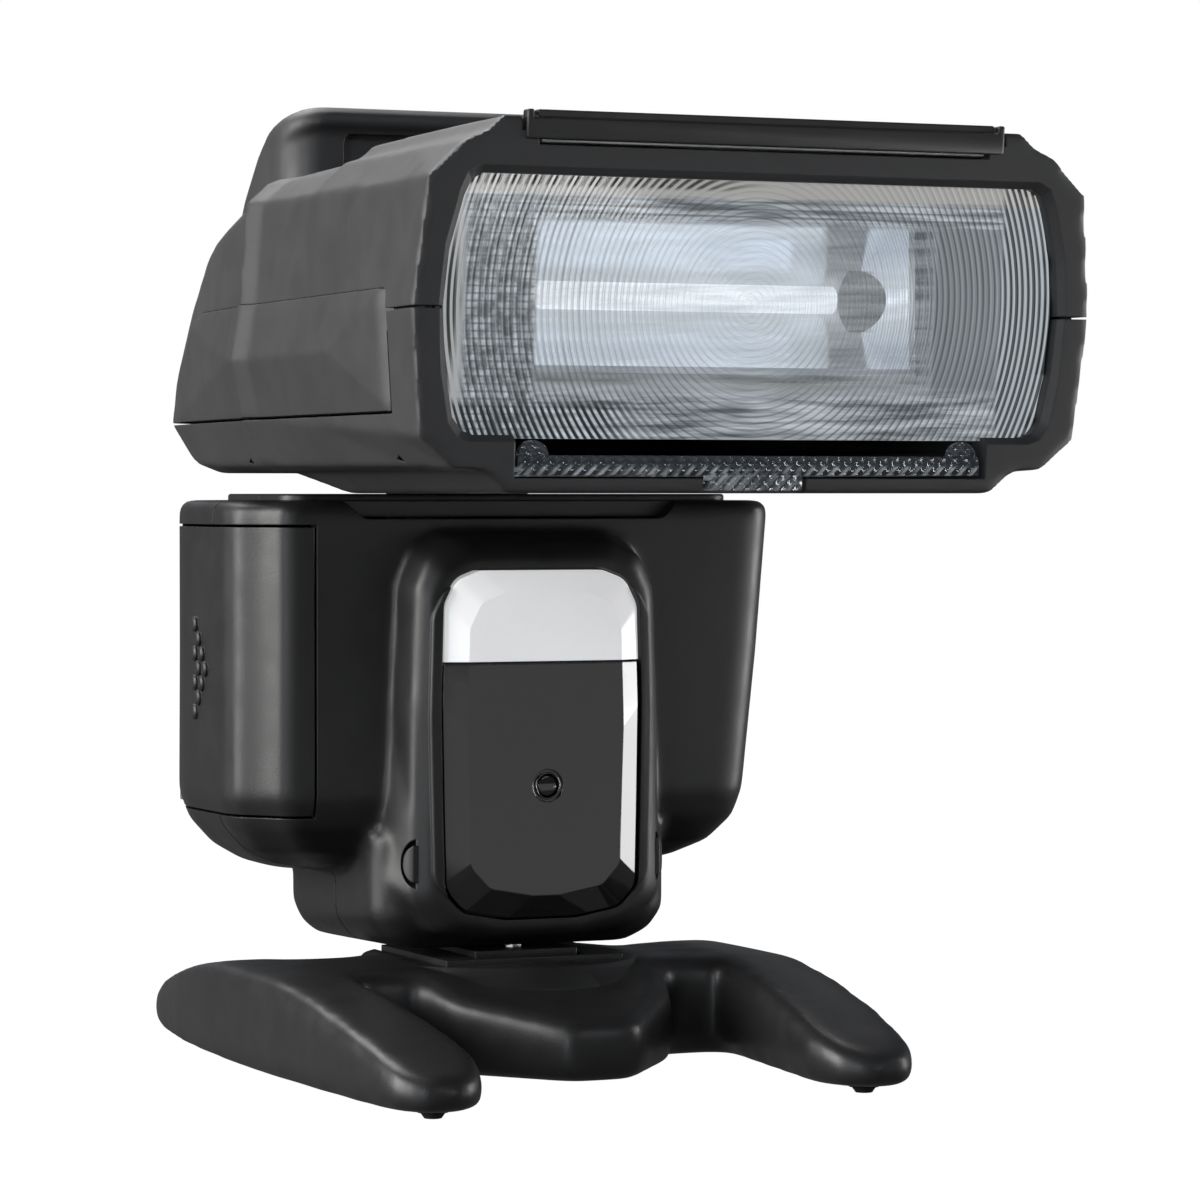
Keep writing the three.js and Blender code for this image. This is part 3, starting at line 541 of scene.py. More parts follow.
MAT = {
    "head_plastic": moulded("head_shell", (0.030, 0.030, 0.031), 0.52, spec=0.4),
    "body_plastic": moulded("body_shell", (0.012, 0.012, 0.0125), 0.42, spec=0.4),
    "stand_plastic": moulded("stand_shell", (0.014, 0.014, 0.0145), 0.4, grain=0.28, spec=0.4),
    "gloss_panel": glossy_black(),
    "clear_plastic": lens_prisms(),
    "clear_window": clear_plastic("clear_window", (0.4, 0.44, 0.48), 0.16),
    "clear_diamond": clear_plastic("clear_diamond", (0.16, 0.19, 0.22), 0.5, diamonds=True),
    "white_lens": lamp_diffuser(),
    "white_card": card_white(),
    "reflector_metal": metal("polished_reflector", (0.62, 0.65, 0.69), 0.16, brush=(1, 12, 12), grain=0.05,
                             painted_tube_glow=True),
    "steel": metal("brushed_steel", (0.55, 0.56, 0.58), 0.3, brush=(8, 1, 8)),
    "brass": metal("turned_brass", (0.66, 0.47, 0.2), 0.32),
    "rubber": moulded("rubber", (0.015, 0.015, 0.015), 0.8, grain=0.6, grain_scale=2200, spec=0.3),
    "cell_wrap": moulded("cell_sleeve", (0.05, 0.2, 0.36), 0.3, grain=0.05, coat=0.4),
    "circuit_board": circuit_board(),
    "nylon": moulded("nylon", (0.55, 0.54, 0.5), 0.5, grain=0.2),
    "tube_glass": glowing_tube(),
    "capacitor_sleeve": moulded("capacitor_sleeve", (0.02, 0.05, 0.16), 0.3, grain=0.05, coat=0.3),
    "screen": screen_glass(),
}

# The CAD nodes that stay take their slot's material and a small rounding of their edges.
for entry in frame["record"]["subparts"]:
    node = frame["nodes"][entry["node"]]
    node.data.materials.clear()
    plain_window = entry["node"] == "display_window"        # the only clear piece here without prisms
    node.data.materials.append(MAT["clear_window" if plain_window else entry["material_slot"]])
    rounding = node.modifiers.new("rounding", "BEVEL")
    rounding.width = 0.12 * MM
    rounding.segments = 2
    rounding.limit_method = "ANGLE"
    rounding.angle_limit = math.radians(40)
    rounding.use_clamp_overlap = True


# ---------- lamp head: outer form ----------
# Half sections from front to rear: y, then top, top bevel, shoulder, widest, low side, low bevel, bottom.
HEAD_SECTIONS = [
    (0, (27.85, 98.3), (31.7, 95.9), (35.3, 92.4), (36.5, SEAM_Z), (35.4, 68.0), (31.75, 65.0), (28.7, 64.8)),
    (10, (28.2, 98.1), (31.9, 95.8), (35.0, 92.3), (35.9, 80.5), (35.2, 68.5), (32.3, 65.2), (30.0, 64.9)),
    (31, (28.3, 97.7), (31.5, 95.8), (34.6, 92.6), (35.2, 81.0), (34.7, 69.5), (32.6, 65.4), (30.5, 64.9)),
    (34, (28.3, 96.4), (31.1, 95.2), (34.4, 92.5), (35.1, 81.1), (34.7, 69.6), (32.6, 65.4), (30.5, 64.9)),
    (51.5, (28.5, 95.6), (31.2, 95.0), (33.7, 92.8), (34.5, 82.0), (34.2, 70.5), (32.2, 65.6), (30.0, 64.9)),
    (70, (26.0, 93.2), (29.0, 92.3), (31.6, 89.5), (32.7, 82.0), (32.6, 70.5), (30.4, 65.6), (28.0, 64.9)),
    (78, (25.0, 89.5), (28.0, 88.4), (30.6, 85.5), (31.7, 80.0), (31.7, 70.5), (29.6, 65.8), (27.0, 64.9)),
    (85, (24.0, 84.3), (27.0, 83.2), (29.6, 80.5), (30.8, 76.0), (30.9, 70.5), (28.6, 66.0), (26.0, 65.0)),
    (91, (22.0, 78.6), (25.0, 77.6), (27.4, 75.6), (28.9, 73.4), (29.4, 70.4), (27.2, 67.3), (24.0, 66.2)),
    (95, (20.0, 73.9), (22.5, 73.2), (24.4, 72.2), (25.4, 71.2), (25.6, 70.2), (24.0, 68.9), (21.0, 68.1)),
    (96.6, (17.0, 71.3), (19.0, 71.1), (20.5, 70.9), (21.0, 70.6), (21.0, 70.2), (20.0, 69.9), (17.0, 69.8)),
]
CREASE_Y = 51.5
TOP_STEP_Y = 34


def flat_row(section):
    return [section[0]] + [c for point in section[1:] for c in point]


def curved_rows(rows, steps):
    """Rows between the given ones on a Catmull-Rom curve through them."""
    out = []
    for i in range(len(rows) - 1):
        before = rows[max(i - 1, 0)]
        a, b = rows[i], rows[i + 1]
        after = rows[min(i + 2, len(rows) - 1)]
        for k in range(steps):
            t = k / steps
            out.append([0.5 * (2 * q + (r - p) * t + (2 * p - 5 * q + 4 * r - s) * t * t
                               + (3 * q - p - 3 * r + s) * t ** 3)
                        for p, q, r, s in zip(before, a, b, after)])
    out.append(rows[-1])
    return out


def head_half(row):
    points = [(row[i], row[i + 1]) for i in range(1, len(row), 2)]
    (tx, tz), (bx, bz) = points[0], points[1]
    step = (tx + 1.55, tz - 1.45) if row[0] < TOP_STEP_Y - 0.5 else ((tx + bx) / 2, (tz + bz) / 2 + 0.2)
    return [points[0], step] + points[1:]


def head_ring(row, side=0.0, cap=0.0):
    half = head_half(row)
    middle = (half[0][1] + half[-1][1]) / 2
    half = [(x - side, z - math.copysign(cap, z - middle)) for x, z in half]
    lean = RAKE if row[0] <= 0 else 0
    return [(x, row[0] + lean * (z - SEAM_Z), z) for x, z in half + [(-x, z) for x, z in reversed(half)]]


def between(a, b, y):
    t = (y - a[0]) / (b[0] - a[0])
    return [p + (q - p) * t for p, q in zip(a, b)]


def swollen(row, by):
    """The row moved outward at its sides, which raises the crease that runs round the head."""
    return [row[0]] + [c + by if i % 2 == 0 else c for i, c in enumerate(row[1:])]


FLAT_ROWS = [flat_row(s) for s in HEAD_SECTIONS]
STRAIGHT = [row for row in FLAT_ROWS if row[0] < CREASE_Y]
CURVED = curved_rows([row for row in FLAT_ROWS if row[0] >= CREASE_Y], 4)
HEAD_ROWS = (STRAIGHT + [between(STRAIGHT[-1], CURVED[0], CREASE_Y - 3.2), swollen(CURVED[0], 1.1),
                         between(CURVED[0], CURVED[1], CREASE_Y + 2.6)] + CURVED[1:])

HUMP_HALF = 24.0
HUMP_CORNER = 4.2
HUMP = [(60.2, 92), (60.2, 101.4), (59.2, 102.2), (59.4, 103.3), (60.6, 104.0), (62.4, 104.1), (65.6, 103.3),
        (70.4, 100.6), (75.2, 95.6), (78.2, 90.5), (79.4, 86), (70, 86)]
BELLY = (28.7, 26.1)


def hump_form():
    """Raised rear housing: its front, top and ends meet in large rounded corners."""
    rings = []
    for side in (-1, 1):
        for k in range(7):
            turn = math.radians(15 * (6 - k if side < 0 else k))
            x = side * (HUMP_HALF - 1.6 + HUMP_CORNER * math.sin(turn))
            back, drop = 5.2 * (1 - math.cos(turn)), 2.4 * (1 - math.cos(turn))
            rings.append([(x, y + back * max(0.0, (72 - y) / 12.8), z - drop * max(0.0, (z - 86) / 18))
                          for y, z in HUMP])
    return loft("hump", rings)


def belly_form():
    rings = []
    for y, low in ((0, 62.65), (44, 62.65), (49, 63.3), (53.5, 64.7)):
        lean = RAKE if y == 0 else 0
        outline = [(-BELLY[0], 68), (BELLY[0], 68), (BELLY[0], 64.8), (BELLY[1], low),
                   (-BELLY[1], low), (-BELLY[0], 64.8)]
        rings.append([(x, y + lean * (z - SEAM_Z), z) for x, z in outline])
    return loft("belly", rings)


LENS_HALF = [(29.4, 92.9), (30.7, 92.2), (31.4, 90.6), (32.7, 85.6), (33.15, 80.3), (32.7, 74.6),
             (31.8, 69.9),
             (30.8, 68.6), (29.6, 68.2)]


def lens_outline(grow):
    half = [(x + grow, z + math.copysign(grow, z - 80)) for x, z in LENS_HALF]
    return half + [(-x, z) for x, z in reversed(half)]


def leaning(name, outline, y0, y1, outline_back=None):
    """Plate in the leaning plane of the head's front, tapered if its back has its own outline."""
    back = outline_back or outline
    return loft(name, [
        [(x, y0 + RAKE * (z - SEAM_Z), z) for x, z in outline],
        [(x, y1 + RAKE * (z - SEAM_Z), z) for x, z in back],
    ])


INSERT = [(8.8, 70.75), (8.6, 82.1), (71.5, 82.0), (76, 81.0), (79.2, 78.4), (84.6, 70.75)]
INSERT_DEPTH = 1.1
CARD = {"half": 23.8, "low": 95.9, "high": 96.7, "length": 29}
WIDE = {"half": 25, "low": 64.4, "high": 66.3, "length": 38}
NECK_HALF = 12


def insert_outline(grow):
    return rounded([(y + math.copysign(grow, y - 40), z + math.copysign(grow, z - 76)) for y, z in INSERT],
                   [1.2, 1.2, 2.0, 2.5, 2.5, 1.0])


def head_cutters():
    far = 60
    cutters = [
        loft("chamber", [head_ring([4.6] + HEAD_ROWS[0][1:], 2.6, 1.8)]
             + [head_ring(row, 2.6, 1.8) for row in HEAD_ROWS[1:] if row[0] < 86]),
        prism("neck_slot", [(64.5, 60), (64.5, 66.2), (75.6, 79.9), (77.6, 84.1), (80.4, 86.1), (83.6, 86.7),
                            (101, 86.7), (101, 60)], "x", -NECK_HALF - 0.4, NECK_HALF + 0.4),
        prism("axle_hole", disc(84, 80, 2.8, 32), "x", -15.4, 15.4),
        leaning("lens_hole", lens_outline(0), -8, 8),
        leaning("lens_chamfer", lens_outline(1.15), -0.6, 0.75, lens_outline(-0.05)),
        box("card_slot", (-CARD["half"] - 0.4, CARD["half"] + 0.4), (-5, CARD["length"] + 1.6),
            (CARD["low"] - 0.3, CARD["high"] + 0.3)),
        box("tab_recess", (-26, 26), (-5, 1.6), (CARD["high"] + 0.2, 101)),
        box("wide_slot", (-WIDE["half"] - 0.5, WIDE["half"] + 0.5), (-3, WIDE["length"] + 3),
            (WIDE["low"] - 0.3, WIDE["high"] + 0.3)),
        box("wide_well", (-WIDE["half"] - 0.5, WIDE["half"] + 0.5), (-3, WIDE["length"] + 3),
            (WIDE["low"], 68.6)),
        box("tab_notch", (-5.6, 5.6), (-3, 3.4), (61, WIDE["low"] + 0.2)),
    ]
    for side in (-1, 1):
        for y, z in ((12.6, 66.0), (58.6, 66.0)):
            cutters.append(prism("clip_slot", [(y - 0.9, z - 0.35), (y + 0.9, z - 0.05),
                                               (y - 0.7, z + 0.4)], "x",
                                 min(side * 31, side * far), max(side * 31, side * far)))
    return cutters


def neck_wall():
    return prism("neck_wall", [(62.6, 55), (62.6, 67), (73.7, 80.9), (76, 85.5), (79.4, 88.1), (83.6, 88.7),
                               (101, 88.7), (101, 55)], "x", -NECK_HALF - 2.4, NECK_HALF + 2.4)


def build_head():
    form = loft("head_form", [head_ring(row) for row in HEAD_ROWS])
    unite(form, hump_form(), belly_form())
    soften(form, 0.42, 5)
    skin = copy(form, "head_skin")
    cutters = head_cutters()
    chamber = cutters.pop(0)
    subtract(chamber, neck_wall())
    subtract(form, chamber, *cutters)
    hump_front = prism("hump_front", rounded([(-20.5, 90), (20.5, 90), (20.5, 101.2), (-20.5, 101.2)],
                                             1.2), "y", 58, 61.6)
    subtract(form, hump_front)
    inserts = {}
    for side, name in ((-1, "side_insert_left"), (1, "side_insert_right")):
        near, far = (20 * side, 45 * side) if side > 0 else (45 * side, 20 * side)
        pocket = prism("pocket", insert_outline(0.24), "x", near, far)
        core = loft("core", [head_ring([-6] + HEAD_ROWS[0][1:], INSERT_DEPTH + 0.3, 0)]
                    + [head_ring(row, INSERT_DEPTH + 0.3, 0) for row in HEAD_ROWS[1:]])
        subtract(pocket, core)
        subtract(form, pocket)
        inlay = copy(skin, name)
        intersect(inlay, prism("inlay", insert_outline(-0.19), "x", near, far))
        subtract(inlay, loft("core", [head_ring([-6] + HEAD_ROWS[0][1:], INSERT_DEPTH, 0)]
                             + [head_ring(row, INSERT_DEPTH, 0) for row in HEAD_ROWS[1:]]))
        for vert in inlay.data.vertices:
            y, z = vert.co.y / MM + CENTRE_Y, vert.co.z / MM
            rise = 1.15 * max(0.0, min(1 - abs(z - 76.6) / 6.0, (y - 8.6) / 15.0, (86 - y) / 30.0))
            rise -= 0.75 * max(0.0, (11.4 - y) / 2.6) ** 2
            vert.co.x += side * rise * MM
        inserts[name] = inlay
    bpy.data.objects.remove(skin)
    far = 130
    upper = form
    lower = copy(form, "lower")
    # A tongue in a groove keeps light from showing through the seam beside the lens.
    tongues = [box("tongue", ordered(side * 34.2, side * 34.9), (0.9, 8.4), (SEAM_Z - 0.7, SEAM_Z + 0.6))
               for side in (-1, 1)]
    for piece, up, gap in ((upper, True, GAP / 2), (lower, False, -GAP / 2)):
        low_z = -50
        step = box("step", (-far, far), (-far, PART_Y + gap), (low_z, SEAM_Z + gap))
        rear = box("rear", (-far, far), (-far, far), (low_z, PART_Z + gap))
        region = unite(step, rear)
        (subtract if up else intersect)(piece, region)
        if not up:
            subtract(piece, *[box("groove", ordered(side * 34.05, side * 35.05), (0.5, 8.8),
                                  (SEAM_Z - 0.85, SEAM_Z + 0.6)) for side in (-1, 1)])
    unite(upper, *tongues)
    finish_piece(upper, "lamp_head_upper", "head", "head_plastic", "head_upper_shell")
    finish_piece(lower, "lamp_head_lower", "head", "head_plastic", "head_lower_shell")
    for name, inlay in inserts.items():
        finish_piece(inlay, name.replace("insert", "inlay"), "head", "head_plastic", name)


build_head()


# ---------- lamp head: optics and pull-outs ----------
def build_lens():
    """Prismatic lens: circular sawtooth prisms on its front, clipped to the bowed outline."""
    rings, teeth = [], 150
    steps = int(38 / RING_PITCH)
    verts, faces = [(0.0, 1.75, 0.0)], []
    for k in range(1, steps + 1):
        for lift, r in ((0.0, k * RING_PITCH - 0.04), (0.14, k * RING_PITCH)):
            rings.append(len(verts))
            verts += [(r * math.cos(math.tau * i / teeth), 1.61 + lift, r * math.sin(math.tau * i / teeth))
                      for i in range(teeth)]
    back = len(verts)
    r = steps * RING_PITCH
    verts += [(r * math.cos(math.tau * i / teeth), 3.6, r * math.sin(math.tau * i / teeth))
              for i in range(teeth)]
    verts.append((0.0, 3.6, 0.0))
    rings.append(back)
    for i in range(teeth):
        j = (i + 1) % teeth
        faces.append((0, rings[0] + i, rings[0] + j))
        for a, b in zip(rings, rings[1:]):
            faces.append((a + i, b + i, b + j, a + j))
        faces.append((back + i, len(verts) - 1, back + j))
    tilted = [(x, y + RAKE * (z + LENS_CENTRE_Z - SEAM_Z), z + LENS_CENTRE_Z) for x, y, z in verts]
    lens = new_object("lens", tilted, faces)
    intersect(lens, leaning("lens_clip", lens_outline(-0.3), -4, 8))
    finish_piece(lens, "lens_prisms", "head", "clear_plastic", "fresnel_lens", angle=5)


build_lens()


def build_pull_outs():
    card = box("card", (-CARD["half"], CARD["half"]), (-1.2, CARD["length"]), (CARD["low"], CARD["high"]))
    bevel(card, 0.15, 2)
    finish_piece(card, "bounce_card_sheet", "bounce_card", "white_card", "bounce_card")

    tab = leaning("tab", [(-25.6, 96.1), (25.6, 96.1), (25.6, 98.9), (24.9, 98.9), (24.9, 98.1),
                          (-24.9, 98.1), (-24.9, 98.9),
                          (-25.6, 98.9)], -0.35, 1.0)
    unite(tab, leaning("tab_lip", [(-24.5, 97.6), (24.5, 97.6), (24.5, 98.9), (-24.5, 98.9)], -0.2, 1.0))
    bevel(tab, 0.25, 3)
    finish_piece(tab, "bounce_card_grip", "bounce_card", "body_plastic", "bounce_card_tab")

    panel = box("panel", (-WIDE["half"], WIDE["half"]), (1.9, WIDE["length"]), (WIDE["low"], WIDE["high"]))
    bevel(panel, 0.2, 2)
    pull = box("pull", (-5, 5), (1.2, 3.0), (62.9, WIDE["low"] + 0.2))
    bevel(pull, 0.2, 2)
    unite(panel, pull)
    for x in (-23.2, 23.2):
        unite(panel, prism("clip", disc(x, WIDE["high"] - 0.1, 1.55, 32)[:17], "y", 2.2, 3.0))
    finish_piece(panel, "wide_panel_sheet", "wide_panel", "clear_plastic", "wide_panel", look="clear_diamond")


build_pull_outs()


def build_reflector():
    """Parabolic trough with flat ends, open towards the lens."""
    half, height, mouth, back, centre = 20.5, 7.2, 8.5, 21.4, 82.3
    depth = back - mouth
    curve = [(mouth + depth * (1 - (k / 8) ** 2), centre + height * k / 8) for k in range(-8, 9)]
    outer = [(y + (0.7 if 2 < i < 14 else 0.0), z + math.copysign(0.7, z - centre) if z != centre else z)
             for i, (y, z) in enumerate(curve)]
    shell = prism("shell", outer, "x", -half - 0.7, half + 0.7)
    inside = prism("inside", [(mouth - 1, curve[0][1])] + curve + [(mouth - 1, curve[-1][1])], "x", -half,
                   half)
    subtract(shell, inside)
    for x in (-half, half):
        hole = [(back + 8 * y, centre + 3.3 * z) for y, z in disc(0, 0, 1.0, 40)]
        subtract(shell, prism("tube_hole", hole, "x", x - 1.5, x + 1.5))
    finish_piece(shell, "reflector_trough", "zoom_carriage", "reflector_metal", "reflector",
                 angle=40)


build_reflector()


# ---------- body: outer form ----------
BODY = {"front": 60, "rear": 97.5, "plateau": 62.6}
BODY_SEAM_Y = 71
REAR_RADIUS = 18
# Height, left and right half width, extra inset of the whole outline.
BODY_LEVELS = [
    (21.2, 31.6, 28.2, 9.5), (22.0, 31.6, 28.2, 6.6), (23.8, 31.6, 28.2, 3.5), (26.6, 31.6, 28.2, 1.0),
    (29.6, 31.7, 28.3, 0), (45, 31.6, 30.0, 0), (61.1, 31.6, 31.4, 0), (61.9, 31.6, 31.4, 0.8),
]


def arc(cx, cy, r, start, end, steps):
    out = []
    for i in range(steps + 1):
        angle = math.radians(start + (end - start) * i / steps)
        out.append((cx + r * math.cos(angle), cy + r * math.sin(angle)))
    return out


def body_outline(left, right, inset):
    """Plan outline of the body: stepped front left corner, round rear corners."""
    front, rear = BODY["front"] + inset, BODY["rear"] - inset
    left, right, big = left - inset, right - inset, REAR_RADIUS - inset
    small = max(4 - inset, 1.5)
    return (
        arc(right - small, front + small, small, -90, 0, 8)
        + arc(right - big, rear - big, big, 0, 90, 24)
        + arc(-left + big, rear - big, big, 90, 180, 24)
        + [(-left, front + 8), (-left + 0.7, front + 5.4), (-left + 2.4, front + 3.6),
           (-left + 3.2, front + 2.6),
           (-left + 4.2, front + 0.9), (-left + 5.6, front + 0.2), (-left + 7.4, front)]
    )


def body_loft(name, levels):
    return loft(name, [[(x, y, z) for x, y in body_outline(l, r, inset)] for z, l, r, inset in levels])


TOWER = [
    (54.4, [(8.0, 55.8), (11.2, 54.4), (12.8, 51.2), (13.0, 40), (12.7, 28), (12.5, 19.2), (9.9, 16.4),
            (4.5, 15.3)]),
    (55.8, [(9.0, 57.5), (12.4, 55.9), (14.0, 52.4), (14.4, 40), (14.5, 28), (14.6, 18.8), (11.6, 15.5),
            (5.0, 14.5)]),
    (60.6, [(9.8, 58.6), (13.2, 57.0), (14.8, 53.0), (15.5, 40), (16.4, 28), (17.2, 20.6), (13, 15.0),
            (6.0, 13.9)]),
]
WINDOW = {"face": 53.0, "rim": 54.4, "back": 56.7, "split": 44.45}
WINDOW_HALF = [(7.4, 54.6), (10.1, 53.6), (11.5, 50.8), (11.8, 40), (11.6, 28), (11.4, 19.8), (9.2, 17.5),
               (4.2, 16.6)]
LOCK = {"x": 13.4, "y": 55.2, "z": 22.9, "r": 2.1, "lean": 35}
DOOR = {"low": 28, "high": 59, "x": -24, "rear": 87.1}
PANEL = {"y": 99.5, "half": 20, "low": 27.3, "high": 59.2}
SWIVEL_Y = 78.5


def both(half):
    return half + [(-x, z) for x, z in reversed(half)]


def tower_form():
    rings = []
    for y, half in TOWER:
        outline = rounded(both(half), 2.5, 5)
        rings.append([(x, y, z) for x, z in outline])
    return loft("tower", rings)


def foot_form():
    rings = []
    for z, inset in ((13.2, 2.2), (14.6, 0.8), (16.8, 0), (26, 0)):
        outline = (arc(13.5 - inset, 62, 4 - inset, -90, 0, 6) + arc(13.5 - inset, 84 - inset, 4, 0, 90, 8)
                   + arc(-13.5 + inset, 84 - inset, 4, 90, 180, 8) + arc(-13.5 + inset, 62, 4 - inset, 180,
                                                                         270, 6))
        rings.append([(x, y, z) for x, y in outline])
    return loft("foot_block", rings)


def window_outline(inset, gap=0.0):
    half = [(x - inset - gap, z - math.copysign(inset + gap, z - 35)) for x, z in WINDOW_HALF]
    return rounded(both(half), max(2.6 - inset * 0.4, 1.2), 5)


def door_region(grow):
    return box("door_region", (-50, DOOR["x"] + grow), (45, DOOR["rear"] + grow * 4.6),
               (DOOR["low"] - grow, DOOR["high"] + grow))


def lock_disc(side, radius, depth):
    """Disc sunk square into the tower's flank, centred on the rim's edge and kept behind the rim."""
    turn = math.radians(LOCK["lean"])
    normal = Vector((side * math.cos(turn), -math.sin(turn), 0))
    across = Vector((side * math.sin(turn), math.cos(turn), 0))
    centre = Vector((side * LOCK["x"], LOCK["y"], LOCK["z"]))
    rings = []
    for reach in (depth, 8.0):
        rings.append([tuple(centre + normal * reach + across * (radius * c) + Vector((0, 0, radius * d)))
                      for c, d in disc(0, 0, 1.0, 64)])
    return intersect(loft("lock_disc", rings), box("behind_rim", (-30, 30), (LOCK["y"] + 0.35, 70), (10, 40)))


def build_lock_buttons(form):
    for side, name in ((-1, "left"), (1, "right")):
        button = copy(form, "button")
        intersect(button, lock_disc(side, LOCK["r"], -2.4))
        subtract(button, prism("panel_room", window_outline(-1.3), "y", 50, 58))
        for vert in button.data.vertices:
            vert.co.x += side * 0.35 * MM
            vert.co.y -= 0.2 * MM
        finish_piece(button, f"release_button_{name}", f"lock_{name}", "body_plastic",
                     f"lock_button_{name}")


def build_body():
    form = body_loft("body_form", BODY_LEVELS)
    unite(form, foot_form())
    soften(form, 0.45, 10)
    tower = tower_form()
    soften(tower, 0.4, 6)
    unite(form, tower)
    soften(form, 0.42, 5)
    door = copy(form, "door")
    build_lock_buttons(form)
    rim = prism("rim", window_outline(-1.25), "y", 53.95, 57.5)
    bevel(rim, 0.3, 3, 60)
    unite(form, rim)

    plateau = prism("plateau", arc(23.5, 64.8, 3, -90, 0, 6) + arc(13, 80, 13, 0, 90, 12)
                    + arc(-13, 80, 13, 90, 180, 12) + arc(-23.5, 64.8, 3, 180, 270,
                                                          6), "z", 60.8, BODY["plateau"])
    bevel(plateau, 0.3, 3)
    hollow = body_loft("hollow", [(23.7, 31.6, 28.2, 4.6), (27.0, 31.6, 28.2, 1.6), (29.6, 31.7, 28.3, 1.6),
                                  (45, 31.6, 30, 1.6), (60.1, 31.6, 31.4, 1.6)])
    unite(form, plateau)
    subtract(
        form, hollow,
        prism("scoop", rounded([(-22, 63.4), (-18.4, 59.9), (17.2, 59.9), (20.6, 63.4)], 2), "y", 50, 61.6),
        prism("window_pocket", window_outline(0), "y", 40, WINDOW["back"] + 0.3),
        lock_disc(-1, LOCK["r"] + 0.65, -0.9),
        lock_disc(1, LOCK["r"] + 0.65, -0.9),
        lock_disc(-1, LOCK["r"] + 0.12, -2.6),
        lock_disc(1, LOCK["r"] + 0.12, -2.6),
        door_region(0.28),
        box("panel_pocket", (-PANEL["half"] - 0.3, PANEL["half"] + 0.3), (95.4, 112),
            (PANEL["low"] - 0.3, PANEL["high"] + 0.3)),
        prism("swivel_hole", disc(0, SWIVEL_Y, 8.35, 64), "z", 56, 72),
        prism("ring_room", disc(0, SWIVEL_Y, 11, 64), "z", 57, 60.1),
        box("lamp_room", (-9.6, 9.6), (50, 63), (46, 53)),
        box("lock_room", (-12, 12), (63, 83), (16.5, 30)),
        prism("pin_well", disc(0, 62.3, 1.35, 32), "z", 5, 22.6),
    )
    rear = copy(form, "rear")
    subtract(form, box("behind", (-130, 130), (BODY_SEAM_Y - 0.12, 130), (-50, 130)))
    subtract(rear, box("ahead", (-130, 130), (-130, BODY_SEAM_Y + 0.12), (-50, 130)))
    finish_piece(form, "body_front", "body", "body_plastic", "body_front_shell")
    finish_piece(rear, "body_rear", "body", "body_plastic", "body_rear_shell")

    intersect(door, door_region(0))
    inner = body_loft("inner", [(20, 31.6, 28.2, 1.6), (29.6, 31.7, 28.3, 1.6), (45, 31.6, 30, 1.6),
                                (70, 31.6, 31.4, 1.6)])
    subtract(door, inner, prism("pin_hole", disc(-29.9, 87.6, 1.05, 32), "z", 10, 70))
    for row, count in enumerate(GRIP_ROWS):
        for k in range(count):
            add_grip(door, GRIP["y"] - GRIP["across"] * k + 1.1 - 1.1 * (row % 2),
                     GRIP["z"] + GRIP["pitch"] * (row - (len(GRIP_ROWS) - 1) / 2))
    finish_piece(door, "battery_cover", "door", "body_plastic", "battery_door")


def build_door_pin():
    pin = prism("pin", disc(-29.25, 87.75, 0.5, 32), "z", DOOR["low"] + 0.3, DOOR["high"] - 0.3)
    bevel(pin, 0.15, 2, 50)
    finish_piece(pin, "hinge_pin", "door_slider", "steel", "door_hinge_pin")


GRIP_ROWS = (1, 1, 2, 2, 2, 1, 1)
GRIP = {"y": 75.6, "z": 43.5, "pitch": 1.6, "across": 2.2, "r": 0.85}


def add_grip(door, y, z):
    """Thumb rib: a small tilted scale that stands up at its front edge."""
    rings = []
    for x, shrink in ((-31.0, 0.0), (-31.85, 0.0), (-32.05, 0.3)):
        r = GRIP["r"] - shrink
        half = [(y + 0.1 - r * 0.8 * math.sin(math.radians(t)), z + r * math.cos(math.radians(t)))
                for t in range(0, 181, 15)]
        rings.append([(x, py, pz) for py, pz in half + [(y + 0.55, z - r), (y + 0.55, z + r)]])
    unite(door, loft("scale", rings))


build_body()
build_door_pin()


# ---------- window: lamp lens, black panel and sensor ----------
def bevelled_window(low, high):
    rings = [(WINDOW["face"], 2.4), (WINDOW["rim"] - 0.2, 0), (WINDOW["back"], 0)]
    form = loft("window", [[(x, y, z) for x, z in window_outline(inset, 0.25)] for y, inset in rings])
    return intersect(form, box("span", (-20, 20), (50, 60), (low, high)))


def build_window():
    lens = bevelled_window(WINDOW["split"] + 0.12, 60)
    for x in (-5.2, 4.2):
        subtract(lens, box("tab_mark", (x - 0.9, x + 0.9), (50, WINDOW["face"] + 0.12), (53.4, 55)))
    bevel(lens, 0.25, 3, 20)
    finish_piece(lens, "lamp_window", "body", "white_lens", "led_lens", angle=4)

    panel = bevelled_window(10, WINDOW["split"] - 0.12)
    bevel(panel, 0.22, 3, 20)
    groove = prism("groove", disc(0.2, 31.1, 1.75, 48), "y", 52, WINDOW["face"] + 0.25)
    subtract(groove, prism("core", disc(0.2, 31.1, 1.45, 48), "y", 50, 60))
    subtract(panel, groove)
    subtract(panel, prism("hole", disc(0.2, 31.1, 1.3, 48), "y", 50, 60))
    finish_piece(panel, "front_panel", "body", "gloss_panel", "window_panel", angle=4)

    sensor = prism("sensor", disc(0.2, 31.1, 1.15, 48), "y", 53.15, 56.6)
    bevel(sensor, 0.2, 3)
    finish_piece(sensor, "sensor_lens", "body", "gloss_panel", "sensor_window")


build_window()



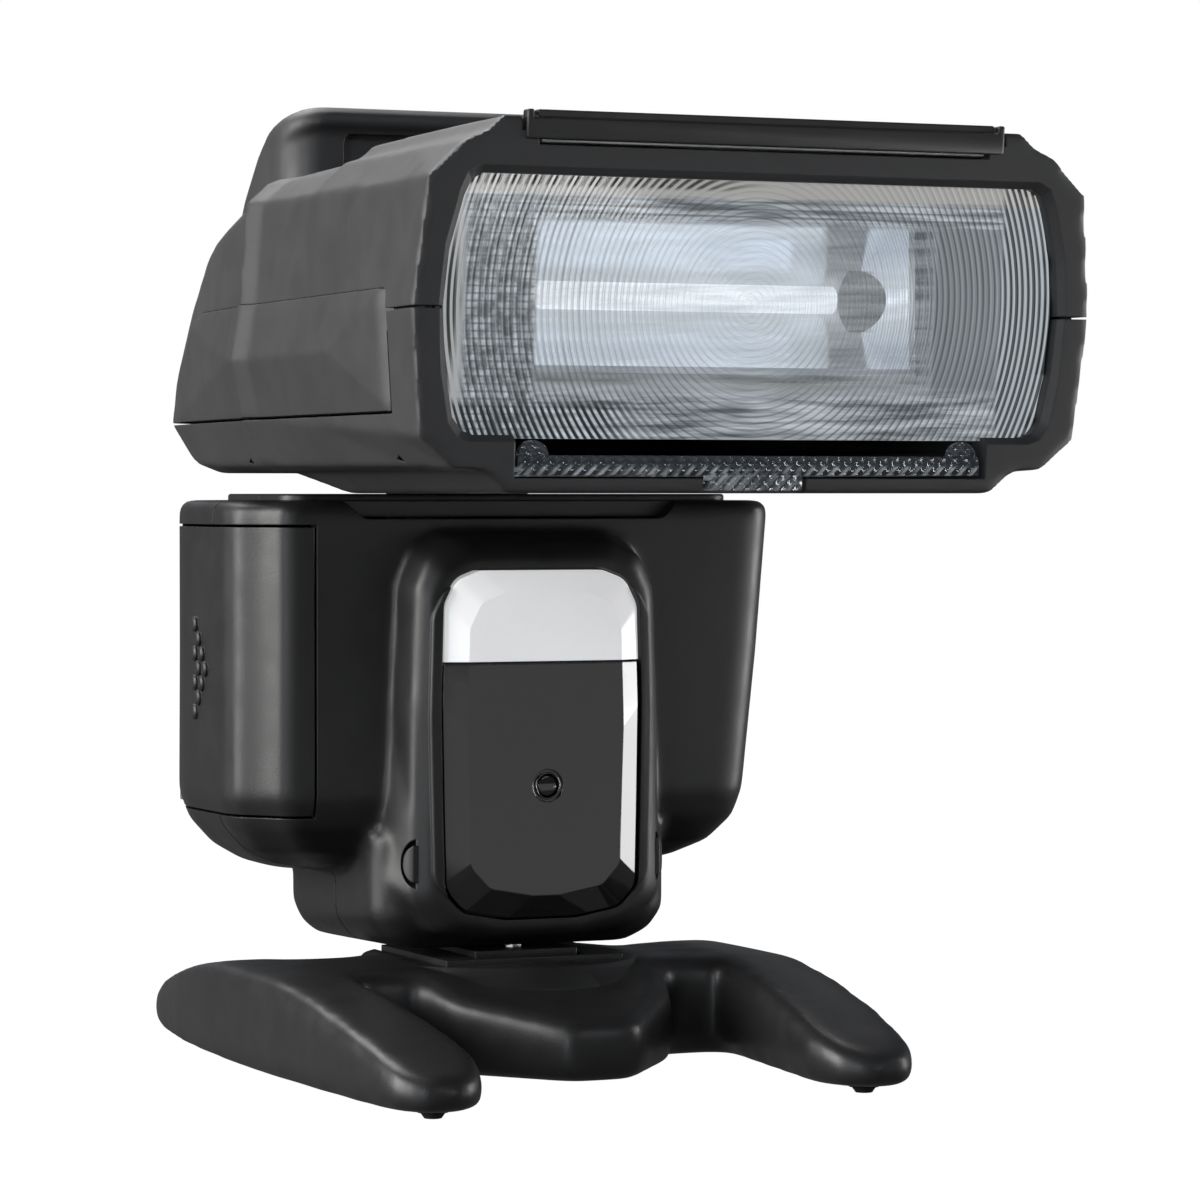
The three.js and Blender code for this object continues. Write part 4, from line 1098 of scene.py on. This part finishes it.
# ---------- neck ----------
def build_neck():
    side = [(67, 64.6), (78.6, 77.5)] + arc(84, 80, 6, 155, 0, 24) + [(90, 66.4), (89, 64.6)]
    neck = prism("neck", side, "x", -NECK_HALF, NECK_HALF)
    unite(neck, prism("stem", disc(0, SWIVEL_Y, 11.5, 96), "z", 62.9, 65))
    unite(neck, prism("hub", disc(0, SWIVEL_Y, 8, 72), "z", 59.2, 63.5))
    subtract(neck, prism("bore", disc(84, 80, 2.7, 48), "x", -20, 20),
             prism("wire_bore", disc(0, SWIVEL_Y, 4, 48), "z", 50, 66))
    bevel(neck, 0.35, 3)
    finish_piece(neck, "swivel_neck", "neck", "body_plastic", "neck")


build_neck()


# ---------- rear controls ----------
DIAL = (0, 34.2, 6.4)
POWER = (-13.6, 34.2, 4.4)
TEST = (13.6, 37.4, 2.3)
MODE = (13.6, 31.0, 2.3)
SCREEN = {"x": 15.5, "low": 42.2, "high": 56.8}


def knurled(name, spot, y0, y1, teeth, depth):
    x, z, r = spot
    outline = []
    for i in range(teeth * 6):
        angle = math.tau * i / (teeth * 6)
        radius = r - depth * (0.5 + 0.5 * math.cos(teeth * angle)) ** 3
        outline.append((x + radius * math.cos(angle), z + radius * math.sin(angle)))
    return prism(name, outline, "y", y0, y1)


def dome(name, spot, y0, y1, dish=0.35):
    x, z, r = spot
    rings = [[(px, y0, pz) for px, pz in disc(x, z, r, 48)]]
    for k in range(5):
        t = k / 4
        rings.append([(px, y1 - dish + dish * math.sin(t * math.pi / 2), pz)
                      for px, pz in disc(x, z, r - 0.35 * (1 - math.cos(t * math.pi / 2)) - 0.02 * k, 48)])
    return loft(name, rings)


def build_controls():
    half, low, high = PANEL["half"], PANEL["low"], PANEL["high"]
    panel = prism("panel", rounded([(-half, low), (half, low), (half, high), (-half, high)], 2.2), "y",
                  95.7, PANEL["y"])
    frame_edge = [(-SCREEN["x"] - 0.3, SCREEN["low"] - 0.3), (SCREEN["x"] + 0.3, SCREEN["low"] - 0.3),
                  (SCREEN["x"] + 0.3, SCREEN["high"] + 0.3), (-SCREEN["x"] - 0.3, SCREEN["high"] + 0.3)]
    bevel(panel, 0.5, 3)
    subtract(panel, prism("screen_hole", frame_edge, "y", 96.4, 110))
    for x, z, r in (DIAL, POWER, TEST, MODE):
        subtract(panel, prism("socket", disc(x, z, r + 0.35, 64), "y", 96.9, 110))
    finish_piece(panel, "control_panel", "body", "body_plastic", "rear_panel")

    dial = knurled("dial", DIAL, 97.3, PANEL["y"] + 1.6, 36, 0.35)
    subtract(dial, prism("bore", disc(DIAL[0], DIAL[1], 3.0, 64), "y", 90, 110))
    bevel(dial, 0.15, 2, 50)
    finish_piece(dial, "selector_dial", "select_dial", "body_plastic", "select_dial", angle=25)

    power = knurled("power", POWER, 97.3, PANEL["y"] + 1.2, 24, 0.3)
    handle = box("handle", (POWER[0] - 0.9, POWER[0] + 0.9), (PANEL["y"] + 0.8, PANEL["y"] + 2.4),
                 (POWER[1] - 3.8, POWER[1] + 3.8))
    bevel(handle, 0.3, 3)
    unite(power, handle)
    finish_piece(power, "power_knob", "power_dial", "body_plastic", "power_dial", angle=25)

    for spot, body, node, slot, y0, lift in (
        ((DIAL[0], DIAL[1], 2.6), "set_button", "set_button", "body_plastic", 98.4, 1.2),
        (TEST, "test_button", "test_button", "white_lens", 98.2, 0.8),
        (MODE, "mode_button", "mode_button", "body_plastic", 98.2, 0.8),
    ):
        button = dome(node, spot, y0, PANEL["y"] + lift)
        finish_piece(button, node + "_cap", body, slot, node)


build_controls()


# ---------- shoe foot, rails and stand ----------
def build_stand():
    shell = copy(frame["nodes"]["stand_shell"], "stand")
    shell.parent = None
    for key in list(shell.keys()):
        del shell[key]
    shell.modifiers.clear()
    tidy_mesh(shell)
    soften(shell, 0.5, 2)
    swelling = [vert.normal * 0.3 * MM for vert in shell.data.vertices]
    for vert, step in zip(shell.data.vertices, swelling):
        vert.co += step
    soften(shell, 0.55, 60)
    levels = ((5, 18.5), (9.6, 17.6), (11.2, 15.6), (11.7, 15.2))
    boss = loft("boss", [[(x, y, z) for x, y in disc(0, SHOE_Y, r, 96)] for z, r in levels])
    unite(shell, boss)
    subtract(shell, box("rail_room", (-10.66, 10.66), (55.74, 90), (8.14, 20)),
             prism("bush_room", disc(0, SHOE_Y, 5.9, 48), "z", -1, 6.7),
             box("below", (-60, 60), (-10, 140), (-5, 0.95)))
    finish_piece(shell, "table_stand", "stand", "stand_plastic", "stand_shell", angle=50)


build_stand()


# ---------- floor, light and camera ----------
def area_light(name, place, target, size, power, color=(1, 1, 1)):
    data = bpy.data.lights.new(name, "AREA")
    data.shape = "RECTANGLE"
    data.size, data.size_y = size
    data.energy = power
    data.color = color
    light = bpy.data.objects.new(name, data)
    bpy.context.scene.collection.objects.link(light)
    light.location = place
    light.rotation_mode = "QUATERNION"
    light.rotation_quaternion = (Vector(target) - Vector(place)).to_track_quat("-Z", "Y")
    return light


def build_stage():
    side = 3.0
    mesh = bpy.data.meshes.new("floor")
    mesh.from_pydata([(-side, -side, 0), (side, -side, 0), (side, side * 4, 0), (-side, side * 4, 0)], [],
                     [(0, 1, 2, 3)])
    floor = bpy.data.objects.new("floor", mesh)
    bpy.context.scene.collection.objects.link(floor)
    look = Look("floor")
    look.set(Base_Color=look.ramp(look.noise(3, 2.0), [(0.3, (0.02, 0.02, 0.02)), (0.7, (0.03, 0.03, 0.03))]))
    look.set(Roughness=0.9, Specular_IOR_Level=0.0, Emission_Color=(1, 1, 1, 1))
    split = look.node("SeparateXYZ", {"Vector": look.place()})
    front = look.spread(split.outputs["Y"], 0.62, 0.06, -0.16, -0.12)
    right = look.times(look.spread(split.outputs["X"], 0.0, 9.0, 0.17, 0.18),
                      look.spread(split.outputs["Y"], 1.0, 0.0, -0.02, 0.0))
    right = look.times(right, look.spread(split.outputs["Y"], 0.0, 1.0, -0.26, -0.25))
    path = look.node("LightPath")
    shown = look.times(path.outputs["Is Glossy Ray"], look.plus(front, right))
    look.set(Emission_Strength=look.plus(look.math("MAXIMUM", path.outputs["Is Camera Ray"], 0.08), shown))
    mesh.materials.append(look.material)

    world = bpy.data.worlds.new("studio")
    bpy.context.scene.world = world
    world.use_nodes = True
    tree = world.node_tree
    tree.nodes.clear()
    shown = tree.nodes.new("ShaderNodeBackground")
    shown.inputs["Color"].default_value = (1, 1, 1, 1)
    lit = tree.nodes.new("ShaderNodeBackground")
    lit.inputs["Color"].default_value = (0.85, 0.9, 1.0, 1)
    lit.inputs["Strength"].default_value = 0.12
    path = tree.nodes.new("ShaderNodeLightPath")
    mix = tree.nodes.new("ShaderNodeMixShader")
    out = tree.nodes.new("ShaderNodeOutputWorld")
    tree.links.new(path.outputs["Is Camera Ray"], mix.inputs["Fac"])
    tree.links.new(lit.outputs[0], mix.inputs[1])
    tree.links.new(shown.outputs[0], mix.inputs[2])
    tree.links.new(mix.outputs[0], out.inputs["Surface"])

    middle = (0, 0, 0.055)
    area_light("key_left", (-0.9, 0.1, 0.25), middle, (0.6, 0.7), 17.0, (1.0, 0.99, 0.97))
    area_light("flank_left", (-0.85, -0.8, 0.2), middle, (0.16, 0.6), 3.6, (0.9, 0.95, 1.0))
    area_light("top_rear", (-0.1, 0.5, 0.8), middle, (0.7, 0.5), 9.0)
    area_light("rim_right", (0.8, -0.1, 0.1), middle, (0.2, 0.5), 3.4)
    area_light("front_card", (0.3, -1.1, 0.5), middle, (0.5, 0.3), 1.3, (0.97, 0.98, 1.0))


def build_camera():
    azimuth, pitch = math.radians(24.0), math.radians(-1.3544)
    look = Vector((math.sin(azimuth) * math.cos(pitch), math.cos(azimuth) * math.cos(pitch), math.sin(pitch)))
    data = bpy.data.cameras.new("camera")
    data.lens = 135.78
    data.sensor_width = 36
    data.clip_start, data.clip_end = 0.01, 50
    camera = bpy.data.objects.new("camera", data)
    bpy.context.scene.collection.objects.link(camera)
    camera.location = mm(-193.135, -395.027, 62.691)
    camera.rotation_mode = "QUATERNION"
    camera.rotation_quaternion = look.to_track_quat("-Z", "Y")
    bpy.context.scene.camera = camera
    bpy.context.scene.view_settings.view_transform = "Standard"


build_stage()
build_camera()
